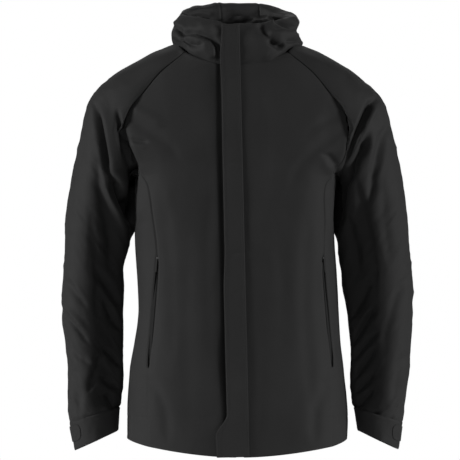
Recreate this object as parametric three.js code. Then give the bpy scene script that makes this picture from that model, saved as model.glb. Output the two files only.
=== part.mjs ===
// Hardshell jacket: waterproof shell with a storm flap over the front zip, raglan sleeves,
// zipped hand pockets and a hood that lies round the collar.
// Millimetres, +Z up, the wearer faces -Y, so the wearer's left side is +X.
// The origin is the middle of the neck at the height of the shoulder neck points.
import * as THREE from 'three';
import { mergeVertices } from 'three/addons/utils/BufferGeometryUtils.js';

// ---- driving dimensions ----
const FABRIC = 2;             // thickness of one faced fabric panel
const SEAM_GAP = 0.6;         // clearance from each panel edge to the seam line
const LAYER_GAP = 0.4;        // clearance between stacked layers
const HEM_Z = -733;           // centre front hem
const HEM_RISE = 36;          // how much higher the hem is at the sides
const COLLAR_TOP = 41;        // top edge of the collar at the centre front
const NECK_FRONT = -31;       // neck seam at the centre front
const NECK_BACK = 14;         // neck seam at the centre back
const UNDERARM_Z = -235;      // where the front, side and sleeve seams meet
const CHEST_HALF = 185;       // half width of the body under the arms
const WAIST_HALF = 184;
const HEM_HALF = 197;
const FRONT_TOP_DEPTH = 90;   // how far the centre front stands out at the collar top
const FRONT_HEM_DEPTH = 128;
const BACK_DEPTH = 112;
const ARM_REACH = 314;        // outermost point of the sleeve, at the elbow
const ELBOW_Z = -440;
const CUFF_END_Z = -722;      // outer end of the slanted cuff
const CUFF_LENGTH = 48;
const SEAM_TOP_X = 6;         // storm flap seam at the collar top
const SEAM_HEM_X = 24;        // storm flap seam at the hem
const FLAP_WIDTH = 37;
const FLAP_FLARE = 22;        // how much wider the flap is at its foot
const FLAP_FLARE_LENGTH = 38;
const FLAP_FLARE_RISE = 40;   // height of the slanted step above the wide foot
const FLAP_THICK = 2;
const PATCH_THICK = 1.2;
const PATCH_WIDTH = 9;
const PATCH_LENGTH = 28;
const PATCH_COUNT = 3;
const ZIP_OFFSET = 18;        // zip centre from the flap seam
const ZIP_OPENING = 7;        // from the zip centre to a front panel's edge
const ZIP_GAP = 1.2;          // clear width between the two coils
const COIL_WIDTH = 2.4;
const COIL_THICK = 2.4;
const TAPE_WIDTH = 11;
const TAPE_THICK = 0.8;
const TAPE_GAP = 0.7;         // from the coils back to the tapes, clear of the curved collar
const SLIDER_WIDTH = 9;
const SLIDER_LENGTH = 12;
const SLIDER_WEB = 0.6;
const SLIDER_PLATE = 1.4;
const PULL_WIDTH = 6;
const PULL_LENGTH = 32;
const PULL_THICK = 1.2;
const POCKET_TOP = -374;
const POCKET_FOOT = -574;
const POCKET_TOP_X = 142;     // |x| of the pocket slit's two ends
const POCKET_FOOT_X = 158;
const LEFT_POCKET_SHIFT = 14; // the wearer's left pocket stands further out by this much
const SLIT_HALF = 3.5;        // half the width of the pocket slit, across the body
const POCKET_TAPE = 8;
const POCKET_BAG_REACH = 92;
const POCKET_BAG_THICK = 2.5;
const WELT_WIDTH = 9;
const WELT_THICK = 0.8;
const WELT_GAP = 1;            // the welt stands off the curved panel by this much
const HOOD_TOP = 83;          // top of the lowered hood behind the neck
const HOOD_FRONT_TOP = 26;
const HOOD_THICK = 2;
const HOOD_ROLL = 26;         // width of the lowered hood's roll, front to back
const LOOP_RADIUS = 14;
const LOOP_BAND = 1.6;

// ---- materials ----
const SHELL = new THREE.MeshStandardMaterial({ color: 0x2b2b2c, roughness: 0.86, metalness: 0 });
const LINING = new THREE.MeshStandardMaterial({ color: 0x1c1c1d, roughness: 0.8, metalness: 0 });
const TRIM = new THREE.MeshStandardMaterial({ color: 0x161617, roughness: 0.6, metalness: 0 });
const HARDWARE = new THREE.MeshStandardMaterial({ color: 0x202021, roughness: 0.4, metalness: 0 });

const jacket = new THREE.Group();
const RIGHT = -1;
const LEFT = 1;
const SIDES = [[RIGHT, 'right'], [LEFT, 'left']];

// ---- mesh helpers ----
function signedVolume(geometry) {
  const at = geometry.attributes.position;
  const index = geometry.index;
  const [a, b, c] = [new THREE.Vector3(), new THREE.Vector3(), new THREE.Vector3()];
  let sum = 0;
  for (let i = 0; i < index.count; i += 3) {
    a.fromBufferAttribute(at, index.getX(i));
    b.fromBufferAttribute(at, index.getX(i + 1));
    c.fromBufferAttribute(at, index.getX(i + 2));
    sum += a.dot(b.cross(c));
  }
  return sum;
}

function closed(geometry) {
  geometry.deleteAttribute('normal');
  geometry.deleteAttribute('uv');
  geometry.clearGroups();
  const merged = mergeVertices(geometry, 1e-4);
  if (signedVolume(merged) < 0) {
    const index = merged.index;
    for (let i = 0; i < index.count; i += 3) {
      const second = index.getX(i + 1);
      index.setX(i + 1, index.getX(i + 2));
      index.setX(i + 2, second);
    }
  }
  merged.computeVertexNormals();
  return merged;
}

// A box bent onto a surface: place(u, v, depth) gives a point for u, v from 0 to 1.
function bend(across, along, thick, place) {
  const geometry = new THREE.BoxGeometry(1, 1, 1, across, 1, along);
  const at = geometry.attributes.position;
  for (let i = 0; i < at.count; i += 1) {
    const depth = at.getY(i) > 0 ? thick : 0;
    const point = place(at.getX(i) + 0.5, at.getZ(i) + 0.5, depth);
    at.setXYZ(i, point.x, point.y, point.z);
  }
  return closed(geometry);
}

function add(name, geometry, material, parent = jacket) {
  const mesh = new THREE.Mesh(geometry, material);
  mesh.name = name;
  parent.add(mesh);
  return mesh;
}

// A block given by its lowest and highest corners.
function block(name, low, high, material, parent) {
  const size = new THREE.Vector3().subVectors(high, low);
  const mesh = add(name, new THREE.BoxGeometry(size.x, size.y, size.z), material, parent);
  mesh.position.addVectors(low, high).multiplyScalar(0.5);
  return mesh;
}

const V = (x, y, z) => new THREE.Vector3(x, y, z);
const lerp = THREE.MathUtils.lerp;

// Straight interpolation in a list of [key, value] pairs with falling keys.
function along(list, key) {
  for (let i = 1; i < list.length; i += 1) {
    const [high, valueHigh] = list[i - 1];
    const [low, valueLow] = list[i];
    if (key >= low) {
      return lerp(valueHigh, valueLow, THREE.MathUtils.clamp((high - key) / (high - low), 0, 1));
    }
  }
  return list[list.length - 1][1];
}

// ---- the body's form: one rounded section at each height ----
const HALF_WIDTHS = [
  [20, 108], [7, 120], [-7, 147], [-22, 177], [-40, 208], [-58, 233], [-76, 253], [-94, 264],
  [-148, 272], [-180, 255], [-210, 212], [UNDERARM_Z, CHEST_HALF + 2], [-260, CHEST_HALF],
  [-350, CHEST_HALF - 4], [-470, WAIST_HALF], [-580, HEM_HALF - 4], [HEM_Z, HEM_HALF],
];
const BACK_DEPTHS = [
  [20, 72], [-60, BACK_DEPTH - 16], [-150, BACK_DEPTH], [-300, BACK_DEPTH + 2],
  [-450, BACK_DEPTH - 8], [HEM_Z, BACK_DEPTH + 4],
];
const ROUNDNESS = [[-50, 2], [-200, 2.5], [HEM_Z, 2.6]];

const frontDepth = (z) =>
  lerp(FRONT_TOP_DEPTH, FRONT_HEM_DEPTH, (COLLAR_TOP - z) / (COLLAR_TOP - HEM_Z));
const flapSeamX = (z) => lerp(SEAM_TOP_X, SEAM_HEM_X, (COLLAR_TOP - z) / (COLLAR_TOP - HEM_Z));
const zipX = (z) => flapSeamX(z) - ZIP_OFFSET;

// The point on the front (face -1) or back (face 1) of the body at x, z, sunk by depth.
function bodyAt(x, z, face, depth = 0) {
  const power = along(ROUNDNESS, z);
  const half = along(HALF_WIDTHS, z) - depth;
  const reach = (face < 0 ? frontDepth(z) : along(BACK_DEPTHS, z)) - depth;
  const share = Math.min(Math.abs(x / half), 1) ** power;
  return V(x, face * reach * (1 - share) ** (1 / power), z);
}

// The point a share of the way round the side, from frontX at the front to backX at the back.
function sideAt(side, frontX, backX, share, z, depth) {
  const power = along(ROUNDNESS, z);
  const half = along(HALF_WIDTHS, z) - depth;
  const start = Math.asin(Math.min(frontX / half, 1) ** (power / 2));
  const stop = Math.PI - Math.asin(Math.min(backX / half, 1) ** (power / 2));
  const turn = lerp(start, stop, share);
  const reach = (turn < Math.PI / 2 ? frontDepth(z) : along(BACK_DEPTHS, z)) - depth;
  const bulge = Math.sin(turn) ** (2 / power);
  const out = Math.sign(Math.cos(turn)) * Math.abs(Math.cos(turn)) ** (2 / power);
  return V(side * half * bulge, -reach * out, z);
}

// ---- seams: [height at the centre line, |x| and height at the outer seam, slit half width,
// share of the left pocket's shift] ----
const SLIT_EDGE = 3;
const HEM_SIDE_Z = HEM_Z + HEM_RISE * 0.5;
const LOW_Z = HEM_Z + (POCKET_FOOT - HEM_Z) * 0.585;
const POCKET_MIDDLE = (POCKET_TOP + POCKET_FOOT) / 2;
const POCKET_MIDDLE_X = (POCKET_TOP_X + POCKET_FOOT_X) / 2;
const FRONT_ROWS = [
  [HEM_Z, POCKET_FOOT_X - 1, HEM_SIDE_Z, 0, 1],
  [LOW_Z, POCKET_FOOT_X, LOW_Z, 0, 1],
  [POCKET_FOOT - SLIT_EDGE, POCKET_FOOT_X, POCKET_FOOT - SLIT_EDGE, 0, 1],
  [POCKET_FOOT, POCKET_FOOT_X, POCKET_FOOT, SLIT_HALF, 1],
  [POCKET_MIDDLE, POCKET_MIDDLE_X, POCKET_MIDDLE, SLIT_HALF, 1],
  [POCKET_TOP, POCKET_TOP_X, POCKET_TOP, SLIT_HALF, 1],
  [POCKET_TOP + SLIT_EDGE, POCKET_TOP_X, POCKET_TOP + SLIT_EDGE, 0, 1],
  [-300, 152, -300, 0, 0.7],
  [UNDERARM_Z - 4, 172, UNDERARM_Z, 0, 0],
  [-190, 193, -190, 0, 0],
  [-150, 203, -140, 0, 0],
  [-115, 190, -106, 0, 0],
  [-85, 165, -79, 0, 0],
  [-58, 136, -45, 0, 0],
  [NECK_FRONT, 92, -9, 0, 0],
];
const BACK_ROWS = [
  [HEM_Z - 2, 126, HEM_SIDE_Z, 0],
  [LOW_Z, 128, LOW_Z, 0],
  [POCKET_FOOT, 128, POCKET_FOOT, 0],
  [POCKET_TOP, 128, POCKET_TOP, 0],
  [-300, 140, -300, 0],
  [UNDERARM_Z - 4, 160, UNDERARM_Z, 0],
  [-190, 182, -190, 0],
  [-145, 188, -140, 0],
  [-105, 174, -100, 0],
  [-70, 148, -65, 0],
  [-30, 112, -25, 0],
  [NECK_BACK, 80, 4, 0],
];
const JUNCTION_FRONT = 8;
const JUNCTION_BACK = 5;
const SIDE_TOP_DROP = 4;      // how far the side panel stops below the sleeve's seam

// The row of a seam table at a share of the way from its first row to its last.
function rowAt(rows, share) {
  const place = share * (rows.length - 1);
  const low = Math.min(Math.floor(place), rows.length - 2);
  return rows[low].map((value, i) => lerp(value, rows[low + 1][i], place - low));
}

// The front seam's row, with its |x| moved out on the wearer's left.
function frontRow(side, share) {
  const [centreZ, outerX, outerZ, slit, shift] = rowAt(FRONT_ROWS, share);
  return [centreZ, outerX + (side > 0 ? LEFT_POCKET_SHIFT * shift : 0), outerZ, slit];
}

function frontPanel(side, name) {
  const geometry = bend(6, FRONT_ROWS.length - 1, FABRIC, (u, v, depth) => {
    const [centreZ, outerX, outerZ, slit] = frontRow(side, v);
    const innerX = zipX(centreZ) + side * ZIP_OPENING;
    const x = lerp(innerX, side * (outerX - SEAM_GAP - slit), u);
    const z = lerp(centreZ, outerZ, u ** 1.6);
    return bodyAt(x, z - (v === 1 ? SEAM_GAP : 0), -1, depth);
  });
  return add(name, geometry, SHELL);
}

function backPanel() {
  const geometry = bend(10, BACK_ROWS.length - 1, FABRIC, (u, v, depth) => {
    const [centreZ, outerX, outerZ] = rowAt(BACK_ROWS, v);
    const across = 2 * u - 1;
    const z = lerp(centreZ, outerZ, across ** 2);
    return bodyAt(across * (outerX - SEAM_GAP), z - (v === 1 ? SEAM_GAP : 0), 1, depth);
  });
  return add('back_panel', geometry, SHELL);
}

function sidePanel(side, name) {
  const geometry = bend(6, JUNCTION_FRONT, FABRIC, (u, v, depth) => {
    const [, frontX, frontZ, slit] = frontRow(side, v * JUNCTION_FRONT / (FRONT_ROWS.length - 1));
    const backX = along(BACK_ROWS.slice(0, JUNCTION_BACK + 1).map((row) => [row[2], row[1]]).reverse(),
      frontZ);
    const hem = (1 - Math.min(v * JUNCTION_FRONT, 1)) * HEM_RISE * 0.4 * Math.sin(Math.PI * u);
    const z = frontZ + hem - (v === 1 ? SIDE_TOP_DROP : 0);
    return sideAt(side, frontX + SEAM_GAP + slit, backX + SEAM_GAP, u, z, depth);
  });
  return add(name, geometry, SHELL);
}

backPanel();
for (const [side, word] of SIDES) {
  frontPanel(side, `front_panel_${word}`);
  sidePanel(side, `side_panel_${word}`);
}

// ---- sleeves: rings from the armhole to the cuff, for the right side at |x| ----
// [top |x|, top z, under |x|, under z, half depth, middle y]
const ARMHOLE = [235, -60, 190, UNDERARM_Z, 78, 0];
const UPPER_RINGS = [
  ARMHOLE,
  [258, -88, 195, -262, 74, 0],
  [277, -140, 194, -300, 70, 0],
  [ARM_REACH - 21, -205, 194, -335, 68, 0],
  [ARM_REACH - 10, -275, 195, -362, 66, 0],
  [ARM_REACH - 3, -350, 198, -396, 63, -1],
  [ARM_REACH, ELBOW_Z, 204, ELBOW_Z, 60, -2],
];
const CUFF_RISE = 34;         // how much shorter the cuff is on its inner side
const CUFF_TOP_Z = CUFF_END_Z + CUFF_LENGTH;
const LOWER_RINGS = [
  [ARM_REACH, ELBOW_Z, 204, ELBOW_Z, 60, -2],
  [ARM_REACH - 3, -530, 205, -520, 55, -8],
  [ARM_REACH - 10, -610, 206, -595, 50, -14],
  [ARM_REACH - 16, CUFF_TOP_Z, 209, CUFF_TOP_Z + CUFF_RISE * 0.8, 45, -18],
];
const CUFF_RINGS = [
  LOWER_RINGS[LOWER_RINGS.length - 1],
  [ARM_REACH - 22, CUFF_END_Z, 213, CUFF_END_Z + CUFF_RISE, 42, -20],
];
const RING_GAP = 0.8;
const SLEEVE_TURNS = [0, 22, 42, 58, 74, 90, 108, 132, 156, 180];

// A point on a ring: turn 0 is the outer side, 180 the inner, and face gives front or back.
function ringAt(side, ring, turn, face, depth) {
  const [topX, topZ, underX, underZ, halfDepth, middleY] = ring;
  const top = V(side * topX, 0, topZ);
  const under = V(side * underX, 0, underZ);
  const middle = V(0, 0, 0).addVectors(top, under).multiplyScalar(0.5);
  const axis = V(0, 0, 0).subVectors(top, under);
  const half = axis.length() / 2;
  axis.normalize();
  const angle = THREE.MathUtils.degToRad(turn);
  const point = middle.addScaledVector(axis, (half - depth) * Math.cos(angle));
  point.y = middleY + face * (halfDepth - depth) * Math.sin(angle);
  return point;
}

function turnAt(share) {
  const place = share * (SLEEVE_TURNS.length - 1);
  const low = Math.min(Math.floor(place), SLEEVE_TURNS.length - 2);
  return lerp(SLEEVE_TURNS[low], SLEEVE_TURNS[low + 1], place - low);
}

// Half a tube of sleeve: face -1 is its front, 1 its back.
function sleeveHalf(name, side, face, rings, drop) {
  const geometry = bend(SLEEVE_TURNS.length - 1, rings.length - 1, FABRIC, (u, v, depth) => {
    const point = ringAt(side, rowAt(rings, v), turnAt(u), face, depth);
    point.y += face * RING_GAP / 2;
    point.z -= v === 0 ? drop : 0;
    return point;
  });
  return add(name, geometry, SHELL);
}

// The raglan cap's inner edge: round the neck, then down the raglan seam to the underarm.
const SHOULDER_NECK = [108, 8];
const UNDERARM_X = 180;       // |x| of the seam's lowest point
const UNDERARM_CLEAR = 7;     // how far the cap stays above the side panel there
function capSeam(side, face, column, depth) {
  const rows = face < 0 ? FRONT_ROWS : BACK_ROWS;
  const last = rows.length - 1;
  const [, neckX, neckZ] = rows[last];
  if (column === 0) {
    return V(side * (SHOULDER_NECK[0] + depth), face * RING_GAP / 2, SHOULDER_NECK[1] - depth);
  }
  if (column === 1) {
    const corner = bodyAt(side * neckX, neckZ, face, depth);
    return V(side * (lerp(neckX, SHOULDER_NECK[0], 0.6) + depth), corner.y * 0.6,
      lerp(neckZ, SHOULDER_NECK[1], 0.6) - depth);
  }
  if (column === SLEEVE_TURNS.length - 1) {
    return V(side * (UNDERARM_X + depth), face * RING_GAP / 2,
      UNDERARM_Z + UNDERARM_CLEAR + depth);
  }
  const [, x, z] = rows[last - (column - 2)];
  return bodyAt(side * (x + SEAM_GAP * 4), z + SEAM_GAP * 2, face, depth);
}

const CROWN_RISE = 5;         // how far the shoulder stands above the straight line

function raglanCap(name, side, face) {
  const columns = SLEEVE_TURNS.length - 1;
  const geometry = bend(columns, 3, FABRIC, (u, v, depth) => {
    const column = Math.round(u * columns);
    const seam = capSeam(side, face, column, depth);
    const armhole = ringAt(side, ARMHOLE, SLEEVE_TURNS[column], face, depth);
    armhole.y += face * RING_GAP / 2;
    const point = seam.clone().lerp(armhole, v);
    const fullness = Math.sin(Math.PI * v) * Math.max(0, Math.cos(THREE.MathUtils.degToRad(
      SLEEVE_TURNS[column])));
    point.z += CROWN_RISE * fullness;
    return point;
  });
  return add(name, geometry, SHELL);
}
for (const [side, word] of SIDES) {
  for (const [face, half] of [[-1, 'front'], [1, 'back']]) {
    raglanCap(`raglan_${half}_${word}`, side, face);
    sleeveHalf(`sleeve_upper_${half}_${word}`, side, face, UPPER_RINGS, RING_GAP);
    sleeveHalf(`sleeve_lower_${half}_${word}`, side, face, LOWER_RINGS, RING_GAP);
  }
}

// ---- cuffs, their tabs and the tabs' loop patches ----
// A point round a whole ring: angle 0 is the outer side, positive to the front.
function aroundRing(side, ring, angle, depth) {
  return ringAt(side, ring, Math.abs(angle), angle < 0 ? 1 : -1, depth);
}

const CUFF_SLIT = 3;          // half the cuff's slit under the tab, in degrees
const TAB_ROOT = -26;         // where the tab is sewn, in degrees round the cuff
const TAB_TIP = 52;
const TAB_LOW = 0.72;         // shares of the cuff's length that the tab covers
const TAB_HIGH = 0.18;
const TAB_PATCH_START = 14;

function ringStrip(name, side, angles, shares, outside, thick, material, across) {
  const geometry = bend(across, 1, thick, (u, v, depth) => {
    const ring = rowAt(CUFF_RINGS, lerp(shares[0], shares[1], v));
    return aroundRing(side, ring, lerp(angles[0], angles[1], u), depth - outside);
  });
  return add(name, geometry, material);
}

const PATCH_OUTSIDE = LAYER_GAP + PATCH_THICK;
const TAB_OUTSIDE = PATCH_OUTSIDE + LAYER_GAP + FABRIC;
for (const [side, word] of SIDES) {
  const cuff = bend(18, 1, FABRIC, (u, v, depth) => {
    const around = lerp(CUFF_SLIT, 360 - CUFF_SLIT, u);
    const angle = around > 180 ? around - 360 : around;
    const point = aroundRing(side, rowAt(CUFF_RINGS, v), angle, depth);
    point.z -= v === 0 ? RING_GAP : 0;
    return point;
  });
  add(`cuff_${word}`, cuff, SHELL);
  ringStrip(`cuff_loop_patch_${word}`, side, [TAB_PATCH_START, TAB_TIP], [TAB_HIGH, TAB_LOW],
    PATCH_OUTSIDE, PATCH_THICK, TRIM, 4);
  ringStrip(`cuff_tab_${word}`, side, [TAB_ROOT, TAB_TIP], [TAB_HIGH, TAB_LOW],
    TAB_OUTSIDE, FABRIC, SHELL, 8);
}

// ---- collar ----
const COLLAR_BASE_HALF = 93;
const COLLAR_TOP_HALF = 78;
const COLLAR_BASE_BACK = 80;
const COLLAR_TOP_BACK = 68;
const COLLAR_JOIN = 112;      // where the front and back collar panels meet, in degrees
const COLLAR_JOIN_GAP = 0.5;
const NECK_HEIGHTS = [
  [180, NECK_BACK + 3], [120, NECK_BACK + 3], [90, 12], [62, 2], [35, -12], [18, NECK_FRONT + 10],
  [0, NECK_FRONT + 4],
];
const COLLAR_HEIGHTS = [[180, COLLAR_TOP + 5], [90, COLLAR_TOP - 4], [30, COLLAR_TOP - 1],
  [0, COLLAR_TOP]];

// A point on a rounded plan, angle 0 at the front and positive to the wearer's left.
function planAt(angle, half, front, back, power, z) {
  const turn = THREE.MathUtils.degToRad(angle);
  const across = Math.sign(Math.sin(turn)) * Math.abs(Math.sin(turn)) ** (2 / power);
  const forward = Math.sign(Math.cos(turn)) * Math.abs(Math.cos(turn)) ** (2 / power);
  return V(half * across, -(forward > 0 ? front : back) * forward, z);
}

const COLLAR_FRONT_POWER = 3;
const COLLAR_BACK_POWER = 2.2;
function collarAt(angle, v, depth) {
  const around = Math.abs(angle > 180 ? angle - 360 : angle);
  const z = lerp(along(NECK_HEIGHTS, around), along(COLLAR_HEIGHTS, around), v);
  const half = lerp(COLLAR_BASE_HALF, COLLAR_TOP_HALF, v) - depth;
  const back = lerp(COLLAR_BASE_BACK, COLLAR_TOP_BACK, v) - depth;
  const power = around < 90 ? COLLAR_FRONT_POWER : COLLAR_BACK_POWER;
  return planAt(angle, half, frontDepth(z) - depth, back, power, z);
}

function collarFront(side, name) {
  const geometry = bend(7, 2, FABRIC, (u, v, depth) => {
    const z = lerp(NECK_FRONT, COLLAR_TOP, v);
    const x = zipX(z) + side * ZIP_OPENING;
    const half = lerp(COLLAR_BASE_HALF, COLLAR_TOP_HALF, v) - depth;
    const share = (Math.abs(x) / half) ** (COLLAR_FRONT_POWER / 2);
    const start = Math.sign(x) * THREE.MathUtils.radToDeg(Math.asin(share));
    return collarAt(lerp(start, side * (COLLAR_JOIN - COLLAR_JOIN_GAP), u), v, depth);
  });
  return add(name, geometry, SHELL);
}

for (const [side, word] of SIDES) {
  collarFront(side, `collar_front_${word}`);
}
add('collar_back', bend(8, 2, FABRIC, (u, v, depth) => collarAt(
  lerp(COLLAR_JOIN + COLLAR_JOIN_GAP, 360 - COLLAR_JOIN - COLLAR_JOIN_GAP, u), v, depth)), LINING);

// ---- hood, lowered round the collar as a soft roll ----
const HOOD_HALF = 120;
const HOOD_CLEAR = 1.2;       // from the collar to the roll's inner edge
const HOOD_FRONT = frontDepth(NECK_FRONT) + HOOD_ROLL + HOOD_CLEAR;
const HOOD_BACK = 114;
const HOOD_FRONT_END = 36;    // degrees from the centre front where the roll begins
const HOOD_SPLIT = 90;        // the roll lifts behind this line
const HOOD_SEAM_RIGHT = 196;  // seams beside the hood's middle panel
const HOOD_SEAM_LEFT = 158;
const HOOD_JOIN_GAP = 0.6;
const HOOD_POWER = 2.8;
const HOOD_TOPS = [[180, HOOD_TOP], [158, HOOD_TOP], [120, 68], [90, 54], [60, 36],
  [HOOD_FRONT_END, HOOD_FRONT_TOP]];
const HOOD_FEET = [[180, -40], [150, -28], [120, 0], [90, 14], [62, 6], [HOOD_FRONT_END, -8]];
const HOOD_INNER_DROP = 34;

// Across the roll: v 0 is its outer foot, 1 its inner edge.
function hoodAt(angle, v, depth) {
  const around = Math.abs(angle > 180 ? angle - 360 : angle);
  const top = along(HOOD_TOPS, around);
  const foot = lerp(along(HOOD_FEET, around), top - HOOD_INNER_DROP, v);
  const sweep = Math.PI * v;
  const middle = HOOD_ROLL / 2;
  const bow = Math.sign(Math.cos(sweep)) * Math.abs(Math.cos(sweep)) ** 0.6;
  const inset = middle - (middle - depth) * bow;
  const z = foot + (top - depth - foot) * Math.sin(sweep) ** 0.6;
  return planAt(angle, HOOD_HALF - inset, HOOD_FRONT - inset, HOOD_BACK - inset, HOOD_POWER, z);
}

function hoodPiece(name, start, stop, across) {
  const geometry = bend(across, 8, HOOD_THICK, (u, v, depth) => hoodAt(lerp(start, stop, u), v, depth));
  return add(name, geometry, SHELL);
}

for (const [side, word] of SIDES) {
  const seam = side === LEFT ? HOOD_SEAM_LEFT : 360 - HOOD_SEAM_RIGHT;
  hoodPiece(`hood_front_${word}`, side * HOOD_FRONT_END, side * (HOOD_SPLIT - HOOD_JOIN_GAP), 4);
  hoodPiece(`hood_side_${word}`, side * (HOOD_SPLIT + HOOD_JOIN_GAP), side * (seam - HOOD_JOIN_GAP), 5);
}
hoodPiece('hood_centre', HOOD_SEAM_LEFT + HOOD_JOIN_GAP, HOOD_SEAM_RIGHT - HOOD_JOIN_GAP, 3);

const BRIM_LOW = 50;
const BRIM_HIGH = 66;
const BRIM_SPREAD = 34;
const BRIM_INSET = HOOD_ROLL + 3;
add('hood_brim', bend(5, 1, FABRIC, (u, v, depth) => planAt(
  lerp(180 - BRIM_SPREAD, 180 + BRIM_SPREAD, u), HOOD_HALF - BRIM_INSET - depth, HOOD_FRONT,
  HOOD_BACK - BRIM_INSET - depth, HOOD_POWER, lerp(BRIM_LOW, BRIM_HIGH, v))), SHELL);

// ---- centre front: everything straight lies in one tilted frame down the front line ----
// Local x runs to the wearer's left from the flap seam, local -y stands out, local z runs up.
const FRONT_TOP = V(flapSeamX(COLLAR_TOP), -frontDepth(COLLAR_TOP), COLLAR_TOP);
const FRONT_FOOT = V(flapSeamX(HEM_Z), -frontDepth(HEM_Z), HEM_Z);
const FRONT_LENGTH = FRONT_TOP.distanceTo(FRONT_FOOT);

function frameAlong(top, foot, acrossHint) {
  const up = V(0, 0, 0).subVectors(top, foot).normalize();
  const across = acrossHint.clone().addScaledVector(up, -acrossHint.dot(up)).normalize();
  const inward = V(0, 0, 0).crossVectors(up, across);
  const group = new THREE.Group();
  group.matrixAutoUpdate = false;
  group.matrix.makeBasis(across, inward, up).setPosition(top);
  jacket.add(group);
  return group;
}
const front = frameAlong(FRONT_TOP, FRONT_FOOT, V(1, 0, 0));

const COIL_Y = FABRIC * 0.3;
const TAPE_Y = COIL_Y + COIL_THICK + TAPE_GAP;
const PLATE_Y = COIL_Y - LAYER_GAP;
const BACK_PLATE_Y = TAPE_Y + TAPE_THICK + LAYER_GAP;
const PULL_Y = PLATE_Y - SLIDER_PLATE - LAYER_GAP;
const LOOP_PATCH_Y = -LAYER_GAP;
const HOOK_PATCH_Y = LOOP_PATCH_Y - PATCH_THICK - LAYER_GAP;
const FLAP_Y = Math.min(HOOK_PATCH_Y - PATCH_THICK, PULL_Y - PULL_THICK) - LAYER_GAP;
const FLAP_SEAM_GAP = 0.8;
const TOP_STEP = 4;           // the zip stops this far below the collar top
const FOOT_STEP = 6;
const BOX_LENGTH = 12;
const PIN_LENGTH = 14;
const GUARD_HALF = 19;
const CHIN_LENGTH = 44;

// An outline in local x, z with its front face at y - thick and its back face at y.
function plate(name, outline, y, thick, material, parent, hole = null) {
  const shape = new THREE.Shape(outline.map(([x, z]) => new THREE.Vector2(x, z)));
  if (hole) {
    shape.holes.push(new THREE.Path(hole.map(([x, z]) => new THREE.Vector2(x, z))));
  }
  const geometry = new THREE.ExtrudeGeometry(shape, { depth: thick, bevelEnabled: false, steps: 1 });
  geometry.rotateX(Math.PI / 2);
  geometry.translate(0, y, 0);
  return add(name, closed(geometry), material, parent);
}

const FLAP_FOOT = -FRONT_LENGTH + 2;
plate('storm_flap', [
  [-FLAP_SEAM_GAP, 0],
  [-FLAP_SEAM_GAP, FLAP_FOOT],
  [-FLAP_WIDTH - FLAP_FLARE, FLAP_FOOT],
  [-FLAP_WIDTH - FLAP_FLARE, FLAP_FOOT + FLAP_FLARE_LENGTH],
  [-FLAP_WIDTH, FLAP_FOOT + FLAP_FLARE_LENGTH + FLAP_FLARE_RISE],
  [-FLAP_WIDTH, 0],
], FLAP_Y, FLAP_THICK, SHELL, front);

const PATCH_INSET = 1.5;      // from the front panel's edge to a patch
const PATCH_RIGHT = -ZIP_OFFSET - ZIP_OPENING - PATCH_INSET;
const PATCH_FIRST = -100;
const PATCH_LAST = FLAP_FOOT + FLAP_FLARE_LENGTH + 60;
const PATCH_STEP = (PATCH_LAST - PATCH_FIRST) / (PATCH_COUNT - 1);
for (let i = 0; i < PATCH_COUNT; i += 1) {
  const middle = PATCH_FIRST + i * PATCH_STEP;
  const [low, high] = [middle - PATCH_LENGTH / 2, middle + PATCH_LENGTH / 2];
  for (const [word, y] of [['loop', LOOP_PATCH_Y], ['hook', HOOK_PATCH_Y]]) {
    block(`flap_${word}_patch_${i + 1}`, V(PATCH_RIGHT - PATCH_WIDTH, y - PATCH_THICK, low),
      V(PATCH_RIGHT, y, high), TRIM, front);
  }
}

const ZIP_TOP = -TOP_STEP;
const ZIP_FOOT = -FRONT_LENGTH + FOOT_STEP;
const COIL_FOOT = ZIP_FOOT + BOX_LENGTH + PIN_LENGTH + 2;
for (const [side, word] of SIDES) {
  const near = -ZIP_OFFSET + side * ZIP_GAP / 2;
  const coilFar = near + side * COIL_WIDTH;
  const tapeFar = near + side * TAPE_WIDTH;
  block(`zip_coil_${word}`, V(Math.min(near, coilFar), COIL_Y, COIL_FOOT),
    V(Math.max(near, coilFar), COIL_Y + COIL_THICK, ZIP_TOP), HARDWARE, front);
  block(`zip_tape_${word}`, V(Math.min(near, tapeFar), TAPE_Y, ZIP_FOOT),
    V(Math.max(near, tapeFar), TAPE_Y + TAPE_THICK, ZIP_TOP), TRIM, front);
}
block('zip_box', V(-ZIP_OFFSET - 1, COIL_Y - 1, ZIP_FOOT),
  V(-ZIP_OFFSET + 5, COIL_Y + COIL_THICK, ZIP_FOOT + BOX_LENGTH), HARDWARE, front);
block('zip_pin', V(-ZIP_OFFSET - ZIP_GAP / 2 - COIL_WIDTH, COIL_Y, ZIP_FOOT + BOX_LENGTH / 2),
  V(-ZIP_OFFSET - 1 - LAYER_GAP, COIL_Y + COIL_THICK, COIL_FOOT - 1), HARDWARE, front);

// A slider is one I-shaped section: a plate in front of the coils, a web between them, and a
// plate behind the tapes.
function slider(name, centreX, topZ, width, length, webFront, webBack, parent) {
  const [a, b] = [width / 2, SLIDER_WEB / 2];
  const shape = new THREE.Shape([
    [-a, webFront - SLIDER_PLATE], [a, webFront - SLIDER_PLATE], [a, webFront], [b, webFront],
    [b, webBack], [a, webBack], [a, webBack + SLIDER_PLATE], [-a, webBack + SLIDER_PLATE],
    [-a, webBack], [-b, webBack], [-b, webFront], [-a, webFront],
  ].map(([x, y]) => new THREE.Vector2(x, y)));
  const geometry = new THREE.ExtrudeGeometry(shape, { depth: length, bevelEnabled: false, steps: 1 });
  geometry.translate(centreX, 0, topZ - length);
  return add(name, closed(geometry), HARDWARE, parent);
}

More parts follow.
